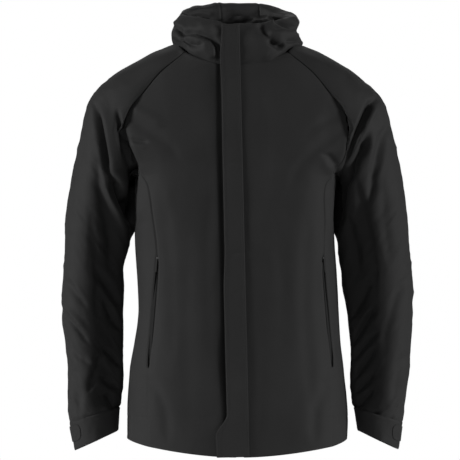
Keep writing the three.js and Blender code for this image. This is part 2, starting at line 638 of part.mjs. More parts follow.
// A pull tab with a round lower end.
function pullTab(name, centreX, topZ, width, length, y, parent) {
  const half = width / 2;
  const outline = [[centreX - half * 0.6, topZ], [centreX - half, topZ - 3]];
  for (let i = 0; i <= 8; i += 1) {
    const turn = Math.PI * i / 8;
    outline.push([centreX - half * Math.cos(turn), topZ - length + half - half * Math.sin(turn)]);
  }
  outline.push([centreX + half, topZ - 3], [centreX + half * 0.6, topZ]);
  plate(name, outline, y, PULL_THICK, TRIM, parent);
}

const SLIDER_TOP = ZIP_TOP - 2;
slider('zip_slider', -ZIP_OFFSET, SLIDER_TOP, SLIDER_WIDTH, SLIDER_LENGTH, PLATE_Y, BACK_PLATE_Y, front);
pullTab('zip_pull', -ZIP_OFFSET, SLIDER_TOP - 4, PULL_WIDTH, PULL_LENGTH, PULL_Y, front);

const GUARD_Y = BACK_PLATE_Y + SLIDER_PLATE + LAYER_GAP + FABRIC;
plate('wind_guard', [
  [-ZIP_OFFSET - GUARD_HALF, -CHIN_LENGTH - TOP_STEP], [-ZIP_OFFSET - GUARD_HALF, ZIP_FOOT],
  [-ZIP_OFFSET + GUARD_HALF, ZIP_FOOT], [-ZIP_OFFSET + GUARD_HALF, -CHIN_LENGTH - TOP_STEP],
], GUARD_Y, FABRIC / 2, LINING, front);
plate('chin_guard', [
  [-ZIP_OFFSET - GUARD_HALF, -TOP_STEP], [-ZIP_OFFSET - GUARD_HALF, -CHIN_LENGTH],
  [-ZIP_OFFSET + GUARD_HALF, -CHIN_LENGTH], [-ZIP_OFFSET + GUARD_HALF, -TOP_STEP],
], GUARD_Y + LAYER_GAP, FABRIC, LINING, front);

// ---- hand pockets ----
const POCKET_SLIDER_WIDTH = 4.4;
const POCKET_SLIDER_LENGTH = 9;
const POCKET_PULL_LENGTH = 24;
const POCKET_PULL_WIDTH = 3.6;
const POCKET_TAPE_Y = FABRIC + 3.6;
const POCKET_PLATE_Y = 2.2;
const BAG_DEPTH = 8;
const BAG_TOP = POCKET_TOP - 10;
const BAG_FOOT = POCKET_FOOT - 70;
const BAG_ROWS = [[BAG_TOP, 128], [POCKET_FOOT, 143], [BAG_FOOT, 132]];
const NEARBY = 5;             // half the step across the slit that gives its direction

for (const [side, word] of SIDES) {
  const shift = side > 0 ? LEFT_POCKET_SHIFT : 0;
  const middleX = side * (POCKET_MIDDLE_X + shift);
  const top = bodyAt(side * (POCKET_TOP_X + shift), POCKET_TOP, -1);
  const foot = bodyAt(side * (POCKET_FOOT_X + shift), POCKET_FOOT, -1);
  const length = top.distanceTo(foot);
  const across = bodyAt(middleX + NEARBY, POCKET_MIDDLE, -1)
    .sub(bodyAt(middleX - NEARBY, POCKET_MIDDLE, -1));
  const slit = frameAlong(top, foot, across);
  const end = length + SLIT_EDGE;
  const half = ZIP_GAP / 2;
  plate(`pocket_zip_${word}`, [
    [-POCKET_TAPE, SLIT_EDGE], [-POCKET_TAPE, -end], [POCKET_TAPE, -end], [POCKET_TAPE, SLIT_EDGE],
  ], POCKET_TAPE_Y + TAPE_THICK, TAPE_THICK, TRIM, slit,
  [[-half, 0], [half, 0], [half, -length], [-half, -length]]);
  slider(`pocket_slider_${word}`, 0, -2, POCKET_SLIDER_WIDTH, POCKET_SLIDER_LENGTH, POCKET_PLATE_Y,
    POCKET_TAPE_Y + TAPE_THICK + LAYER_GAP, slit);
  pullTab(`pocket_pull_${word}`, 0, -5, POCKET_PULL_WIDTH, POCKET_PULL_LENGTH,
    POCKET_PLATE_Y - SLIDER_PLATE - LAYER_GAP, slit);
  const welt = bend(1, 6, WELT_THICK, (u, v, depth) => {
    const z = lerp(POCKET_FOOT - SLIT_EDGE, POCKET_TOP + SLIT_EDGE, v);
    const seam = lerp(POCKET_FOOT_X, POCKET_TOP_X, v) + shift - SLIT_HALF - SEAM_GAP;
    return bodyAt(side * (seam - u * WELT_WIDTH), z, -1, depth - WELT_THICK - WELT_GAP);
  });
  add(`pocket_welt_${word}`, welt, SHELL);
  const bag = bend(4, 3, POCKET_BAG_THICK, (u, v, depth) => {
    const z = lerp(BAG_FOOT, BAG_TOP, v);
    const outer = along(BAG_ROWS, z) + shift;
    return bodyAt(side * lerp(outer - POCKET_BAG_REACH, outer, u), z, -1, depth + BAG_DEPTH);
  });
  add(`pocket_bag_${word}`, bag, LINING);
}

// ---- hang loop inside the neck ----
const LOOP_Y = COLLAR_TOP_BACK - FABRIC - 3;
const loopOutline = [];
const LOOP_STEPS = 10;
for (const [radius, start] of [[LOOP_RADIUS, 0], [LOOP_RADIUS - LOOP_BAND * 1.5, Math.PI]]) {
  for (let i = 0; i <= LOOP_STEPS; i += 1) {
    const turn = Math.abs(start - Math.PI * i / LOOP_STEPS);
    loopOutline.push([radius * Math.cos(turn), NECK_BACK + 2 + radius * Math.sin(turn)]);
  }
}
plate('hang_loop', loopOutline, LOOP_Y, LOOP_BAND * 1.5, TRIM, jacket);

export default jacket;
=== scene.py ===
"""Hardshell jacket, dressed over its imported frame.

Lengths inside the shape functions are millimetres in the frame's axes (+Z up, the front faces -Y,
+X is the wearer's left). Every mesh is turned into metres when it is made.
"""
import math

import bpy
import numpy as np
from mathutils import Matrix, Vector


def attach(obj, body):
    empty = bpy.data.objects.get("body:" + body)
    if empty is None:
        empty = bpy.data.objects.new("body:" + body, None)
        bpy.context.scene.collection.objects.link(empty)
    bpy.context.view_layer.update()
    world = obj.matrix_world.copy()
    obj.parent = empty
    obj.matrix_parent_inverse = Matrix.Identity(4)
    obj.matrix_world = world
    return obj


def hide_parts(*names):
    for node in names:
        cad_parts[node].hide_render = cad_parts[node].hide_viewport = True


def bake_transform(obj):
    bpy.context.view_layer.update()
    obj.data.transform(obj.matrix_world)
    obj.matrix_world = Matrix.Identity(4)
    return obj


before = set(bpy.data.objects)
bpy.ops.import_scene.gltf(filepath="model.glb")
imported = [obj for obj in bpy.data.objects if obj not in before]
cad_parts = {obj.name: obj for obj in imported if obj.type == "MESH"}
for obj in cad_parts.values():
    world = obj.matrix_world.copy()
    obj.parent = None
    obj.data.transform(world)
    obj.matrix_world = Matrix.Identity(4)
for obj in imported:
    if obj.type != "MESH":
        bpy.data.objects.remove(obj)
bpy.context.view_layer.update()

MM = 0.001
RIGHT, LEFT = -1, 1
WORDS = {RIGHT: "right", LEFT: "left"}

# ---- sizes shared with the frame, in millimetres ----
HEM_Z = -733.0
COLLAR_TOP = 41.0
FRONT_TOP_DEPTH, FRONT_HEM_DEPTH = 90.0, 128.0
SEAM_TOP_X, SEAM_HEM_X = 6.0, 24.0
ZIP_OFFSET = 18.0
ZIP_OPENING = 7.0
FLAP_WIDTH = 37.0
FLAP_FLARE, FLAP_FLARE_LENGTH, FLAP_FLARE_RISE = 22.0, 38.0, 40.0
CLOTH = 1.6          # thickness of the faced cloth
CELL = 3.4           # size of one mesh cell
POCKET_TOP, POCKET_FOOT = -374.0, -574.0
SLIT_HALF = 3.5
LEFT_SLIT_SHIFT = 14.0


# ---- small maths ----
def keyed(rows, at):
    """Smooth values between rows of (key, value, ...), which never overshoot. One array per value."""
    table = np.array(sorted(rows, key=lambda row: row[0]), float)
    key, values = table[:, 0], table[:, 1:]
    step = np.diff(key)
    slope = np.diff(values, axis=0) / step[:, None]
    tangent = np.zeros_like(values)
    tangent[0], tangent[-1] = slope[0], slope[-1]
    product, total = slope[1:] * slope[:-1], slope[1:] + slope[:-1]
    same = product > 0
    tangent[1:-1] = np.where(same, 2 * product / np.where(same, total, 1), 0)
    at = np.clip(np.asarray(at, float), key[0], key[-1])
    place = np.clip(np.searchsorted(key, at) - 1, 0, len(key) - 2)
    width = step[place][..., None]
    t = ((at - key[place])[..., None]) / width
    low, high = values[place], values[place + 1]
    a, b = tangent[place] * width, tangent[place + 1] * width
    found = (
        low * (1 + 2 * t) * (1 - t) ** 2
        + a * t * (1 - t) ** 2
        + high * t * t * (3 - 2 * t)
        - b * t * t * (1 - t)
    )
    return tuple(found[..., i] for i in range(values.shape[1]))


def mix(a, b, share):
    return a + (b - a) * share


def step_up(x, low, high):
    """0 below low, 1 above high, smooth between."""
    t = np.clip((x - low) / (high - low), 0, 1)
    return t * t * (3 - 2 * t)


def bump(x, middle, width):
    return np.exp(-(((x - middle) / width) ** 2))


LATTICE = 32
LATTICE_VALUES = np.random.RandomState(7).uniform(-1, 1, (LATTICE,) * 3)


def cloud(points, size, shift=0.0):
    """Smooth noise from -1 to 1. size is the width of one lump along each axis, in millimetres."""
    at = points / np.asarray(size, float) + shift
    cell = np.floor(at).astype(int)
    t = at - cell
    t = t * t * (3 - 2 * t)
    total = 0
    for corner in np.ndindex(2, 2, 2):
        weight = 1.0
        for axis in range(3):
            weight = weight * (t[..., axis] if corner[axis] else 1 - t[..., axis])
        index = (cell + np.array(corner)) % LATTICE
        total = total + weight * LATTICE_VALUES[index[..., 0], index[..., 1], index[..., 2]]
    return total


def unit(v):
    return v / np.maximum(np.linalg.norm(v, axis=-1, keepdims=True), 1e-9)


def grid_normals(points, wrap=False):
    """Normals of a grid of points, rows by columns, from rows crossed with columns."""
    down = np.gradient(points, axis=0)
    if wrap:
        across = (np.roll(points, -1, axis=1) - np.roll(points, 1, axis=1)) / 2
    else:
        across = np.gradient(points, axis=1)
    return unit(np.cross(across, down))


def facing_normals(points, hint, wrap=False):
    """Normals of a grid, turned so that the middle one is on the hint's side."""
    normals = grid_normals(points, wrap)
    middle = normals[points.shape[0] // 2, points.shape[1] // 2]
    return -normals if np.dot(middle, hint) < 0 else normals


def line_distance(points, x, z):
    """Signed distance from x, z to a line of points, and the share of the way along it."""
    points = np.array(points, float)
    lengths = np.linalg.norm(np.diff(points, axis=0), axis=1)
    before = np.concatenate([[0], np.cumsum(lengths)])
    best = np.full(x.shape, 1e9)
    side = np.zeros(x.shape)
    share = np.zeros(x.shape)
    for i, length in enumerate(lengths):
        (x0, z0), (x1, z1) = points[i], points[i + 1]
        ux, uz = (x1 - x0) / length, (z1 - z0) / length
        t = np.clip((x - x0) * ux + (z - z0) * uz, 0, length)
        dx, dz = x - x0 - t * ux, z - z0 - t * uz
        distance = np.hypot(dx, dz)
        nearer = distance < best
        best = np.where(nearer, distance, best)
        side = np.where(nearer, np.sign(dx * uz - dz * ux), side)
        share = np.where(nearer, (before[i] + t) / before[-1], share)
    return best * side, share


# ---- folds of the cloth, seen from the front: (line, depth, width, lip) ----
# A positive depth is a groove. The lip is the height of the roll beside it, on the line's right hand
# side if it is positive, and on its left hand side if it is negative.
FRONT_FOLDS = [
    ([(-256, -96), (-247, -139), (-238, -184), (-231, -220), (-224, -238)], 18, 6, -4),
    ([(-228, -226), (-214, -262), (-200, -282), (-184, -322)], 20, 9, -3),
    ([(-213, -112), (-209, -148), (-198, -182), (-186, -214), (-188, -250), (-187, -332)], 17, 7, 2.5),
    ([(-251, -202), (-246, -247), (-235, -292), (-228, -346), (-231, -400)], 7, 10, -2),
    ([(-246, -214), (-226, -270), (-208, -306), (-198, -350)], -5, 7, 0),
    ([(-318, -448), (-296, -478), (-270, -508)], -4, 6, 0),
    ([(-314, -470), (-288, -500), (-262, -536)], 4, 5, 1),
    ([(-312, -412), (-290, -440), (-266, -470)], 3, 6, 1),
    ([(-309, -520), (-284, -552), (-262, -570)], 3, 6, 1),
    ([(-238, -540), (-252, -580), (-266, -620)], 5, 6, 2),
    ([(-240, -538), (-222, -556), (-206, -574)], 7, 5, 2),
    ([(-244, -590), (-226, -606), (-208, -612)], 5, 5, 2),
    ([(-236, -620), (-215, -654)], 6, 5, 2),
    ([(-254, -667), (-229, -686)], 7, 4.5, 2),
    ([(-301, -560), (-284, -620), (-280, -664)], 3.5, 8, 1),
    ([(-246, -400), (-226, -440), (-208, -466)], 5, 7, 1.5),
    ([(-240, -452), (-224, -490), (-206, -510)], 5, 6, 1.5),
    ([(-262, -300), (-256, -350), (-250, -420), (-254, -500)], 4, 9, -1.5),
    ([(256, -88), (240, -100), (227, -130), (215, -157), (204, -184), (196, -204)], 14, 5, -3),
    ([(238, -156), (224, -190), (206, -220), (188, -246)], 19, 9, 2.5),
    ([(206, -228), (190, -250), (184, -300), (182, -334)], 14, 7, 2),
    ([(275, -136), (262, -157), (255, -193), (246, -229), (238, -290)], 8, 8, -2.5),
    ([(214, -236), (228, -292), (240, -346), (249, -390), (252, -450)], 5, 9, -2),
    ([(268, -200), (262, -250), (266, -320), (276, -400)], 3, 10, 0),
    ([(200, -300), (212, -352), (222, -404)], 5, 7, 2),
    ([(204, -492), (224, -458), (240, -424)], 6, 6, 2),
    ([(206, -538), (224, -506), (246, -468)], 7, 5.5, 2.5),
    ([(208, -566), (232, -534), (256, -508)], 5, 5, 2),
    ([(211, -597), (228, -572), (250, -539)], 7, 5.5, 2.5),
    ([(214, -622), (232, -604), (246, -584)], 5, 5, 2),
    ([(217, -647), (246, -612)], 6, 5, 2),
    ([(218, -673), (240, -662), (260, -652)], 6, 4, 2),
    ([(312, -400), (288, -440), (270, -500), (264, -560)], 3.5, 9, 1),
    ([(310, -540), (292, -570), (280, -630)], 3, 8, 1),
    ([(306, -640), (286, -652), (268, -676)], 3.5, 5, 1.5),
    ([(-192, -165), (-175, -169), (-157, -171)], 3.5, 4, 1.5),
    ([(-194, -104), (-160, -122), (-124, -143)], -3, 9, 0),
    ([(-196, -128), (-160, -150), (-120, -176), (-96, -214)], 2.2, 10, 1),
    ([(152, -192), (165, -196), (177, -211), (184, -247)], 5, 6, 2),
    ([(190, -150), (150, -176), (112, -214), (90, -262)], 2.4, 12, 1),
    ([(196, -120), (160, -132), (118, -160)], 1.8, 9, 0.6),
    ([(-134, -250), (-118, -420), (-112, -560)], 1.8, 14, 0),
    ([(-84, -330), (-92, -500), (-86, -690)], 1.7, 16, 0),
    ([(-46, -240), (-54, -400), (-48, -560)], 1.4, 12, 0),
    ([(70, -260), (84, -430), (78, -600)], 1.8, 16, 0),
    ([(128, -300), (122, -470), (134, -640)], 1.8, 14, 0),
    ([(40, -420), (50, -560), (44, -700)], 1.4, 12, 0),
    ([(-176, -590), (-150, -600), (-128, -640), (-122, -712)], 2.2, 10, 0.6),
    ([(186, -588), (160, -604), (142, -650), (138, -712)], 2.2, 10, 0.6),
    ([(-60, -150), (-50, -260), (-56, -380)], 1.2, 14, 0),
    ([(44, -60), (52, -160), (48, -300)], 1.2, 14, 0),
]
# The same for the back.
BACK_FOLDS = [
    ([(-205, -110), (-196, -180), (-182, -250)], 8, 8, 3),
    ([(205, -110), (196, -180), (182, -250)], 8, 8, 3),
    ([(-262, -150), (-236, -240), (-206, -330)], 5, 10, 2),
    ([(262, -150), (236, -240), (206, -330)], 5, 10, 2),
    ([(-300, -420), (-262, -452), (-222, -446)], 5, 8, 2),
    ([(300, -420), (262, -456), (222, -450)], 5, 8, 2),
    ([(-304, -480), (-264, -504), (-222, -500)], 4, 8, 2),
    ([(304, -476), (264, -506), (222, -498)], 4, 8, 2),
    ([(-280, -560), (-246, -600), (-226, -660)], 3.5, 9, 1),
    ([(280, -560), (246, -604), (226, -664)], 3.5, 9, 1),
    ([(-120, -120), (-96, -260), (-104, -420)], 3, 16, 0),
    ([(116, -130), (98, -270), (108, -430)], 3, 16, 0),
    ([(-50, -300), (-40, -480), (-56, -690)], 2.5, 18, 0),
    ([(48, -330), (58, -500), (44, -700)], 2.5, 18, 0),
    ([(-140, -470), (-60, -492), (30, -478), (130, -496)], 2.5, 12, 0),
    ([(-120, -560), (-20, -540), (110, -566)], 2, 14, 0),
]


def fold_depth(points, facing):
    """How far the folds push each point along its normal. facing is the normal's y."""
    x, z = points[..., 0], points[..., 2]
    push = np.zeros(x.shape)
    for folds, faced in ((FRONT_FOLDS, -facing), (BACK_FOLDS, facing)):
        seen = step_up(faced, -0.15, 0.35)
        for line, depth, width, lip in folds:
            distance, share = line_distance(line, x, z)
            taper = np.clip(np.sin(np.pi * np.clip(share, 0, 1)) * 1.5 + 0.05, 0, 1)
            roll = bump(distance, math.copysign(width * 2.1, lip), width * 1.5) * abs(lip) if lip else 0
            groove = depth * bump(distance, 0, width * (0.45 + 0.55 * taper))
            push = push + seen * taper * (roll - groove)
    return push


def drape(points, normals, loose=1.0):
    """Folds and the slight unevenness of hanging cloth. loose is the unevenness, which seams hold down."""
    waves = cloud(points, (46, 46, 150)) * 1.4 + cloud(points, (24, 24, 60), 3.3) * 0.6
    creases = cloud(points, (15, 15, 22), 9.1) * 0.25
    push = fold_depth(points, normals[..., 1]) + (waves + creases) * loose
    return points + normals * push[..., None]


def wrinkles(points, side):
    """Creases that run down and inwards on a sleeve."""
    x, y, z = side * points[..., 0], points[..., 1], points[..., 2]
    turned = np.stack([x * 0.83 - z * 0.55, y, x * 0.55 + z * 0.83], -1)
    broad = 1 - np.abs(cloud(turned, (17, 34, 74), 2.7)) * 2.2
    fine = 1 - np.abs(cloud(turned, (9, 20, 38), 7.9)) * 2.2
    return broad * 1.3 + fine * 0.45


# ---- the body's form ----
HALF_WIDTHS = [  # height, right half width, left half width
    (20, 108, 108), (7, 120, 118), (-7, 146, 133), (-22, 177, 168), (-40, 208, 201), (-58, 233, 229),
    (-76, 253, 251), (-94, 264, 264), (-112, 271, 271), (-148, 272, 276), (-180, 256, 256),
    (-208, 214, 212), (-232, 186, 181), (-260, 184, 177), (-300, 183, 175), (-346, 182, 176),
    (-410, 179, 180), (-472, 177, 183), (-530, 184, 186), (-580, 192, 192), (-670, 197, 200),
    (-733, 197, 198),
]
BACK_DEPTHS = [(20, 72), (-60, 94), (-150, 110), (-300, 113), (-450, 104), (-600, 110), (-733, 115)]
ROUNDNESS = [(20, 2), (-50, 2), (-150, 2.2), (-190, 2.5), (-208, 2.7), (-232, 3.15), (-262, 3.15),
             (-300, 2.9), (-346, 2.65), (-374, 2.55), (-733, 2.6)]


def front_depth(z):
    return mix(FRONT_TOP_DEPTH, FRONT_HEM_DEPTH, (COLLAR_TOP - z) / (COLLAR_TOP - HEM_Z))


def flap_seam_x(z):
    return mix(SEAM_TOP_X, SEAM_HEM_X, (COLLAR_TOP - z) / (COLLAR_TOP - HEM_Z))


def zip_x(z):
    return flap_seam_x(z) - ZIP_OFFSET


def half_width(z, x):
    right, left = keyed(HALF_WIDTHS, z)
    return mix(right, left, step_up(x, -40, 40))


def body_at(x, z, face):
    """Points on the front (face -1) or back (face 1) of the body."""
    (power,) = keyed(ROUNDNESS, z)
    (back,) = keyed(BACK_DEPTHS, z)
    reach = front_depth(z) if face < 0 else back
    share = np.minimum(np.abs(x / half_width(z, x)), 1) ** power
    chest = 5 * bump(z, -190, 130) * bump(np.abs(x), 98, 48) if face < 0 else 0
    return np.stack([x, face * (reach * (1 - share) ** (1 / power) + chest), z], -1)


def side_at(side, front_x, back_x, share, z):
    """Points round the side of the body, from front_x at the front to back_x at the back."""
    (power,) = keyed(ROUNDNESS, z)
    (back,) = keyed(BACK_DEPTHS, z)
    half = half_width(z, side * 200.0)
    start = np.arcsin(np.minimum(front_x / half, 1) ** (power / 2))
    stop = np.pi - np.arcsin(np.minimum(back_x / half, 1) ** (power / 2))
    turn = mix(start, stop, share)
    reach = np.where(turn < np.pi / 2, front_depth(z), back)
    out = np.sign(np.cos(turn)) * np.abs(np.cos(turn)) ** (2 / power)
    x = half * np.sin(turn) ** (2 / power)
    chest = 5 * bump(z, -190, 130) * bump(x, 98, 48) * np.where(turn < np.pi / 2, 1, 0)
    return np.stack([side * x, -reach * out - chest, z + 0 * x], -1)


# ---- seam lines: (share of the way from hem to neck, |x|, z) ----
FRONT_SEAM = [
    (0, 157, -715), (1.5, 158, -640), (3, 158, -574), (4, 150, -490), (5.5, 142, -374), (6.5, 150, -300),
    (7.4, 158, -250), (8, 172, -226), (9, 195, -188), (10, 203, -140), (11, 190, -106), (12, 165, -79),
    (13, 136, -45), (14, 92, -9),
]
FRONT_CENTRE = [(0, -733), (1.5, -640), (3, -576), (4, -490), (5.5, -374), (6.5, -300), (7.4, -252),
                (8, -228), (9, -190), (10, -150), (11, -115), (12, -85), (13, -58), (14, -31)]
BACK_SEAM = [
    (0, 126, -715), (1.5, 128, -640), (3, 128, -574), (5.5, 128, -374), (6.5, 140, -300),
    (7.4, 148, -250), (8, 160, -226), (9, 182, -188), (10, 188, -140), (11, 176, -100), (12, 150, -65),
    (13, 113, -25), (14, 80, 4),
]
BACK_CENTRE = [(0, -735), (1.5, -640), (3, -576), (5.5, -374), (6.5, -300), (7.4, -252), (8, -228),
               (9, -190), (10, -145), (11, -105), (12, -70), (13, -30), (14, 14)]
NECK_END = 14.0
JUNCTION = 8.0


def front_seam(side, at):
    x, z = keyed(FRONT_SEAM, at)
    if side == LEFT:
        x = x + LEFT_SLIT_SHIFT * (1 - step_up(z, -360, -239))
    return side * x, z


def back_seam(side, at):
    x, z = keyed(BACK_SEAM, at)
    return side * x, z


def slit_half(z):
    """Half the pocket slit's width at a height: a long lens."""
    share = np.clip((z - POCKET_FOOT) / (POCKET_TOP - POCKET_FOOT), 0, 1)
    return SLIT_HALF * np.clip(np.sin(np.pi * share), 0, 1) ** 0.25


def spread(length, cell=CELL, edge=(0, 0.7, 1.6, 3.0, 5.0)):
    """Shares from 0 to 1 along a length, close together at both ends for the turned seam edges."""
    inner = max(int((length - 2 * edge[-1]) / cell), 2)
    middle = np.linspace(edge[-1], length - edge[-1], inner + 1)[1:-1]
    ends = np.array(edge)
    return np.concatenate([ends, middle, length - ends[::-1]]) / length


def seam_sink(distance, depth=0.9, width=1.5):
    """How far the turned edge of a panel sinks at a distance from its seam."""
    return depth * np.exp(-((distance / width) ** 2)) - 0.35 * bump(distance, 4.0, 1.6)


# ---- meshes ----
def arc_lengths(points):
    steps = np.linalg.norm(np.diff(points, axis=0), axis=-1)
    return np.concatenate([np.zeros((1,) + steps.shape[1:]), np.cumsum(steps, axis=0)])


def quads(rows, columns, wrap):
    count = columns if wrap else columns - 1
    i, j = np.meshgrid(np.arange(rows - 1), np.arange(count), indexing="ij")
    k = (j + 1) % columns
    return np.stack([i * columns + j, i * columns + k, (i + 1) * columns + k, (i + 1) * columns + j],
                    -1).reshape(-1, 4)


def new_mesh(name, vertices, faces, loop_normals=None, loop_uv=None, slots=None, materials=()):
    """One object from arrays of quads, in metres."""
    mesh = bpy.data.meshes.new(name)
    mesh.from_pydata((np.asarray(vertices) * MM).tolist(), [], [list(map(int, face)) for face in faces])
    for material in materials:
        mesh.materials.append(material)
    mesh.polygons.foreach_set("use_smooth", np.ones(len(mesh.polygons), bool))
    if slots is not None:
        mesh.polygons.foreach_set("material_index", np.asarray(slots, np.int32))
    if loop_uv is not None:
        layer = mesh.uv_layers.new(name="cloth")
        layer.data.foreach_set("uv", (loop_uv * MM).astype(np.float32).ravel())
    mesh.update()
    if loop_normals is not None:
        mesh.normals_split_custom_set(loop_normals.reshape(-1, 3).tolist())
    piece = bpy.data.objects.new(name, mesh)
    bpy.context.scene.collection.objects.link(piece)
    return piece


def cloth_piece(name, outer, normals, materials, thick=CLOTH, wrap=False, uv=None):
    """A sheet of cloth with two faces and rims. The first material is the face, the second the back."""
    rows, columns = outer.shape[:2]
    count = rows * columns
    inner = outer - normals * thick
    face = quads(rows, columns, wrap)
    flat = outer.reshape(-1, 3)
    middle = face[len(face) // 2]
    facing = np.cross(flat[middle[1]] - flat[middle[0]], flat[middle[3]] - flat[middle[0]])
    if np.dot(facing, normals.reshape(-1, 3)[middle[0]]) < 0:
        face = face[:, ::-1]
    back = face[:, ::-1] + count
    edges = {}
    for quad in face:
        for a, b in zip(quad, np.roll(quad, -1)):
            if (b, a) in edges:
                del edges[(b, a)]
            else:
                edges[(a, b)] = True
    border = np.array(list(edges), int)
    rim = np.stack([border[:, 1], border[:, 0], border[:, 0] + count, border[:, 1] + count], -1)
    vertices = np.concatenate([flat, inner.reshape(-1, 3)])
    faces = np.concatenate([face, back, rim])
    n = normals.reshape(-1, 3)
    start = vertices[rim[:, 0]]
    rim_normal = unit(np.cross(vertices[rim[:, 1]] - start, vertices[rim[:, 2]] - start))
    loop_normals = np.concatenate([n[face], -n[face[:, ::-1]], np.repeat(rim_normal[:, None], 4, 1)])
    if uv is None:
        uv = np.stack([arc_lengths(outer.transpose(1, 0, 2)).T, arc_lengths(outer)], -1)
    flat_uv = np.concatenate([uv.reshape(-1, 2)] * 2)
    slots = np.concatenate([np.zeros(len(face)), np.ones(len(back)), np.zeros(len(rim))])
    return new_mesh(name, vertices, faces, loop_normals, flat_uv[faces].reshape(-1, 2), slots, materials)


# ---- shader maths ----
class Wire:
    """A socket in a material's node tree, with arithmetic that adds Math nodes."""

    def __init__(self, tree, socket=None):
        self.tree = tree
        self.socket = socket

    def node(self, kind, settings=None, inputs=None, out=0):
        """A new node: its settings first, then the values or links of its sockets."""
        made = self.tree.nodes.new(kind)
        for name, value in (settings or {}).items():
            if name == "stops":
                ramp = made.color_ramp.elements
                while len(ramp) < len(value):
                    ramp.new(0.5)
                for element, (place, colour) in zip(ramp, value):
                    element.position = place
                    element.color = colour
            else:
                setattr(made, name, value)
        for name, value in (inputs or {}).items():
            if isinstance(value, Wire):
                self.tree.links.new(value.socket, made.inputs[name])
            else:
                made.inputs[name].default_value = value
        return Wire(self.tree, made.outputs[out] if len(made.outputs) else None)

    def maths(self, operation, *values):
        return self.node("ShaderNodeMath", {"operation": operation}, dict(enumerate(values)))

    def __add__(self, other):
        return self.maths("ADD", self, other)

    def __mul__(self, other):
        return self.maths("MULTIPLY", self, other)

    def __sub__(self, other):
        return self.maths("SUBTRACT", self, other)

    def __rsub__(self, other):
        return self.maths("SUBTRACT", other, self)

    __radd__ = __add__
    __rmul__ = __mul__

    def sine(self):
        return self.maths("SINE", self)

    def span(self, low, high):
        """0 at low and 1 at high, held beyond them."""
        return self.node("ShaderNodeMapRange", {}, {"Value": self, "From Min": low, "From Max": high})


def new_material(name):
    material = bpy.data.materials.new(name)
    material.use_nodes = True
    material.node_tree.nodes.clear()
    return material, Wire(material.node_tree)


def finish_material(wire, colour, roughness, height, constants, bump_distance, bump_strength):
    """Puts one Principled shader on the output, with a bump from height. The distance is in metres."""
    normal = wire.node("ShaderNodeBump", {}, {
        "Height": height, "Strength": bump_strength, "Distance": bump_distance})
    inputs = {"Base Color": colour, "Roughness": roughness, "Normal": normal}
    inputs.update(constants)
    shader = wire.node("ShaderNodeBsdfPrincipled", {}, inputs)
    wire.node("ShaderNodeOutputMaterial", {}, {"Surface": shader})


def noise(wire, vector, scale, detail=2.0):
    return wire.node("ShaderNodeTexNoise", {}, {"Vector": vector, "Scale": scale, "Detail": detail})


def tint(wire, share, dark, light):
    """A colour between two, by a share from 0 to 1."""
    return wire.node("ShaderNodeMix", {"data_type": "RGBA"}, {
        "Factor": share, 6: (*dark, 1), 7: (*light, 1)}, out=2)


def grey(level):
    return (level,) * 3


def woven(name, dark, light, pitch, roughness, sheen=0.1, mottle=0.5):
    """Cloth with crossing threads: pitch is the thread spacing in metres."""
    material, wire = new_material(name)
    uv = wire.node("ShaderNodeUVMap", {"uv_map": "cloth"})
    split = wire.node("ShaderNodeSeparateXYZ", {}, {"Vector": uv})
    across, along = split, Wire(wire.tree, split.socket.node.outputs[1])
    turn = 2 * math.pi / pitch
    warp = (across * turn).sine()
    weft = (along * turn).sine()
    threads = warp * weft
    place = wire.node("ShaderNodeTexCoord", {}, {}, out=3)
    broad = noise(wire, place, 14, 3)
    fine = noise(wire, place, 900, 2)
    share = (broad.span(0.3, 0.7) * mottle + fine.span(0.3, 0.7) * 0.3 + threads * 0.12 + 0.1)
    colour = tint(wire, share, dark, light)
    rough = broad.span(0.3, 0.7) * 0.08 + (roughness - 0.04)
    height = threads * 0.5 + fine * 0.7
    finish_material(wire, colour, rough, height, {
        "Sheen Weight": sheen, "Sheen Roughness": 0.4, "Specular IOR Level": 0.35}, 0.00012, 0.5)
    return material


def fuzzy(name, dark, light, size, roughness):
    """Loops or hooks: dense small bumps."""
    material, wire = new_material(name)
    place = wire.node("ShaderNodeTexCoord", {}, {}, out=3)
    cells = wire.node("ShaderNodeTexVoronoi", {}, {"Vector": place, "Scale": 1 / size})
    hair = noise(wire, place, 2.5 / size, 3)
    colour = tint(wire, (1 - cells) * 0.6 + hair * 0.5, dark, light)
    finish_material(wire, colour, hair * 0.1 + (roughness - 0.05), cells + hair * 0.6, {
        "Sheen Weight": 0.3, "Specular IOR Level": 0.3}, size * 0.6, 0.8)
    return material


def moulded(name, level, roughness):
    """Moulded or painted hardware with faint wear."""
    material, wire = new_material(name)
    place = wire.node("ShaderNodeTexCoord", {}, {}, out=3)
    wear = noise(wire, place, 160, 4)
    grain = noise(wire, place, 1400, 2)
    colour = tint(wire, wear.span(0.35, 0.75), grey(level * 0.8), grey(level * 1.5))
    finish_material(wire, colour, wear * 0.18 + (roughness - 0.09), grain, {
        "Specular IOR Level": 0.5}, 0.00005, 0.4)
    return material


SHELL = woven("shell_cloth", grey(0.0245), grey(0.0395), 0.0009, 0.74, sheen=0.06)
LINING = woven("lining_cloth", grey(0.010), grey(0.018), 0.0012, 0.62, sheen=0.05, mottle=0.4)
TAPE = woven("zip_tape_cloth", grey(0.010), grey(0.018), 0.0007, 0.8)
WEBBING = woven("webbing_cloth", grey(0.014), grey(0.030), 0.0011, 0.78)
FUZZ = fuzzy("hook_and_loop", grey(0.008), grey(0.022), 0.0006, 0.9)
COIL = moulded("nylon_coil", 0.016, 0.42)
HARDWARE = moulded("painted_hardware", 0.014, 0.6)
THREAD = moulded("sewing_thread", 0.024, 0.6)
SHELL_FACED = (SHELL, LINING)


# ---- fabric panels ----
def fit(piece, body, slot, *nodes):
    """Puts a piece on its body in place of the frame's nodes."""
    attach(piece, body)
    if nodes:
        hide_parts(*nodes)


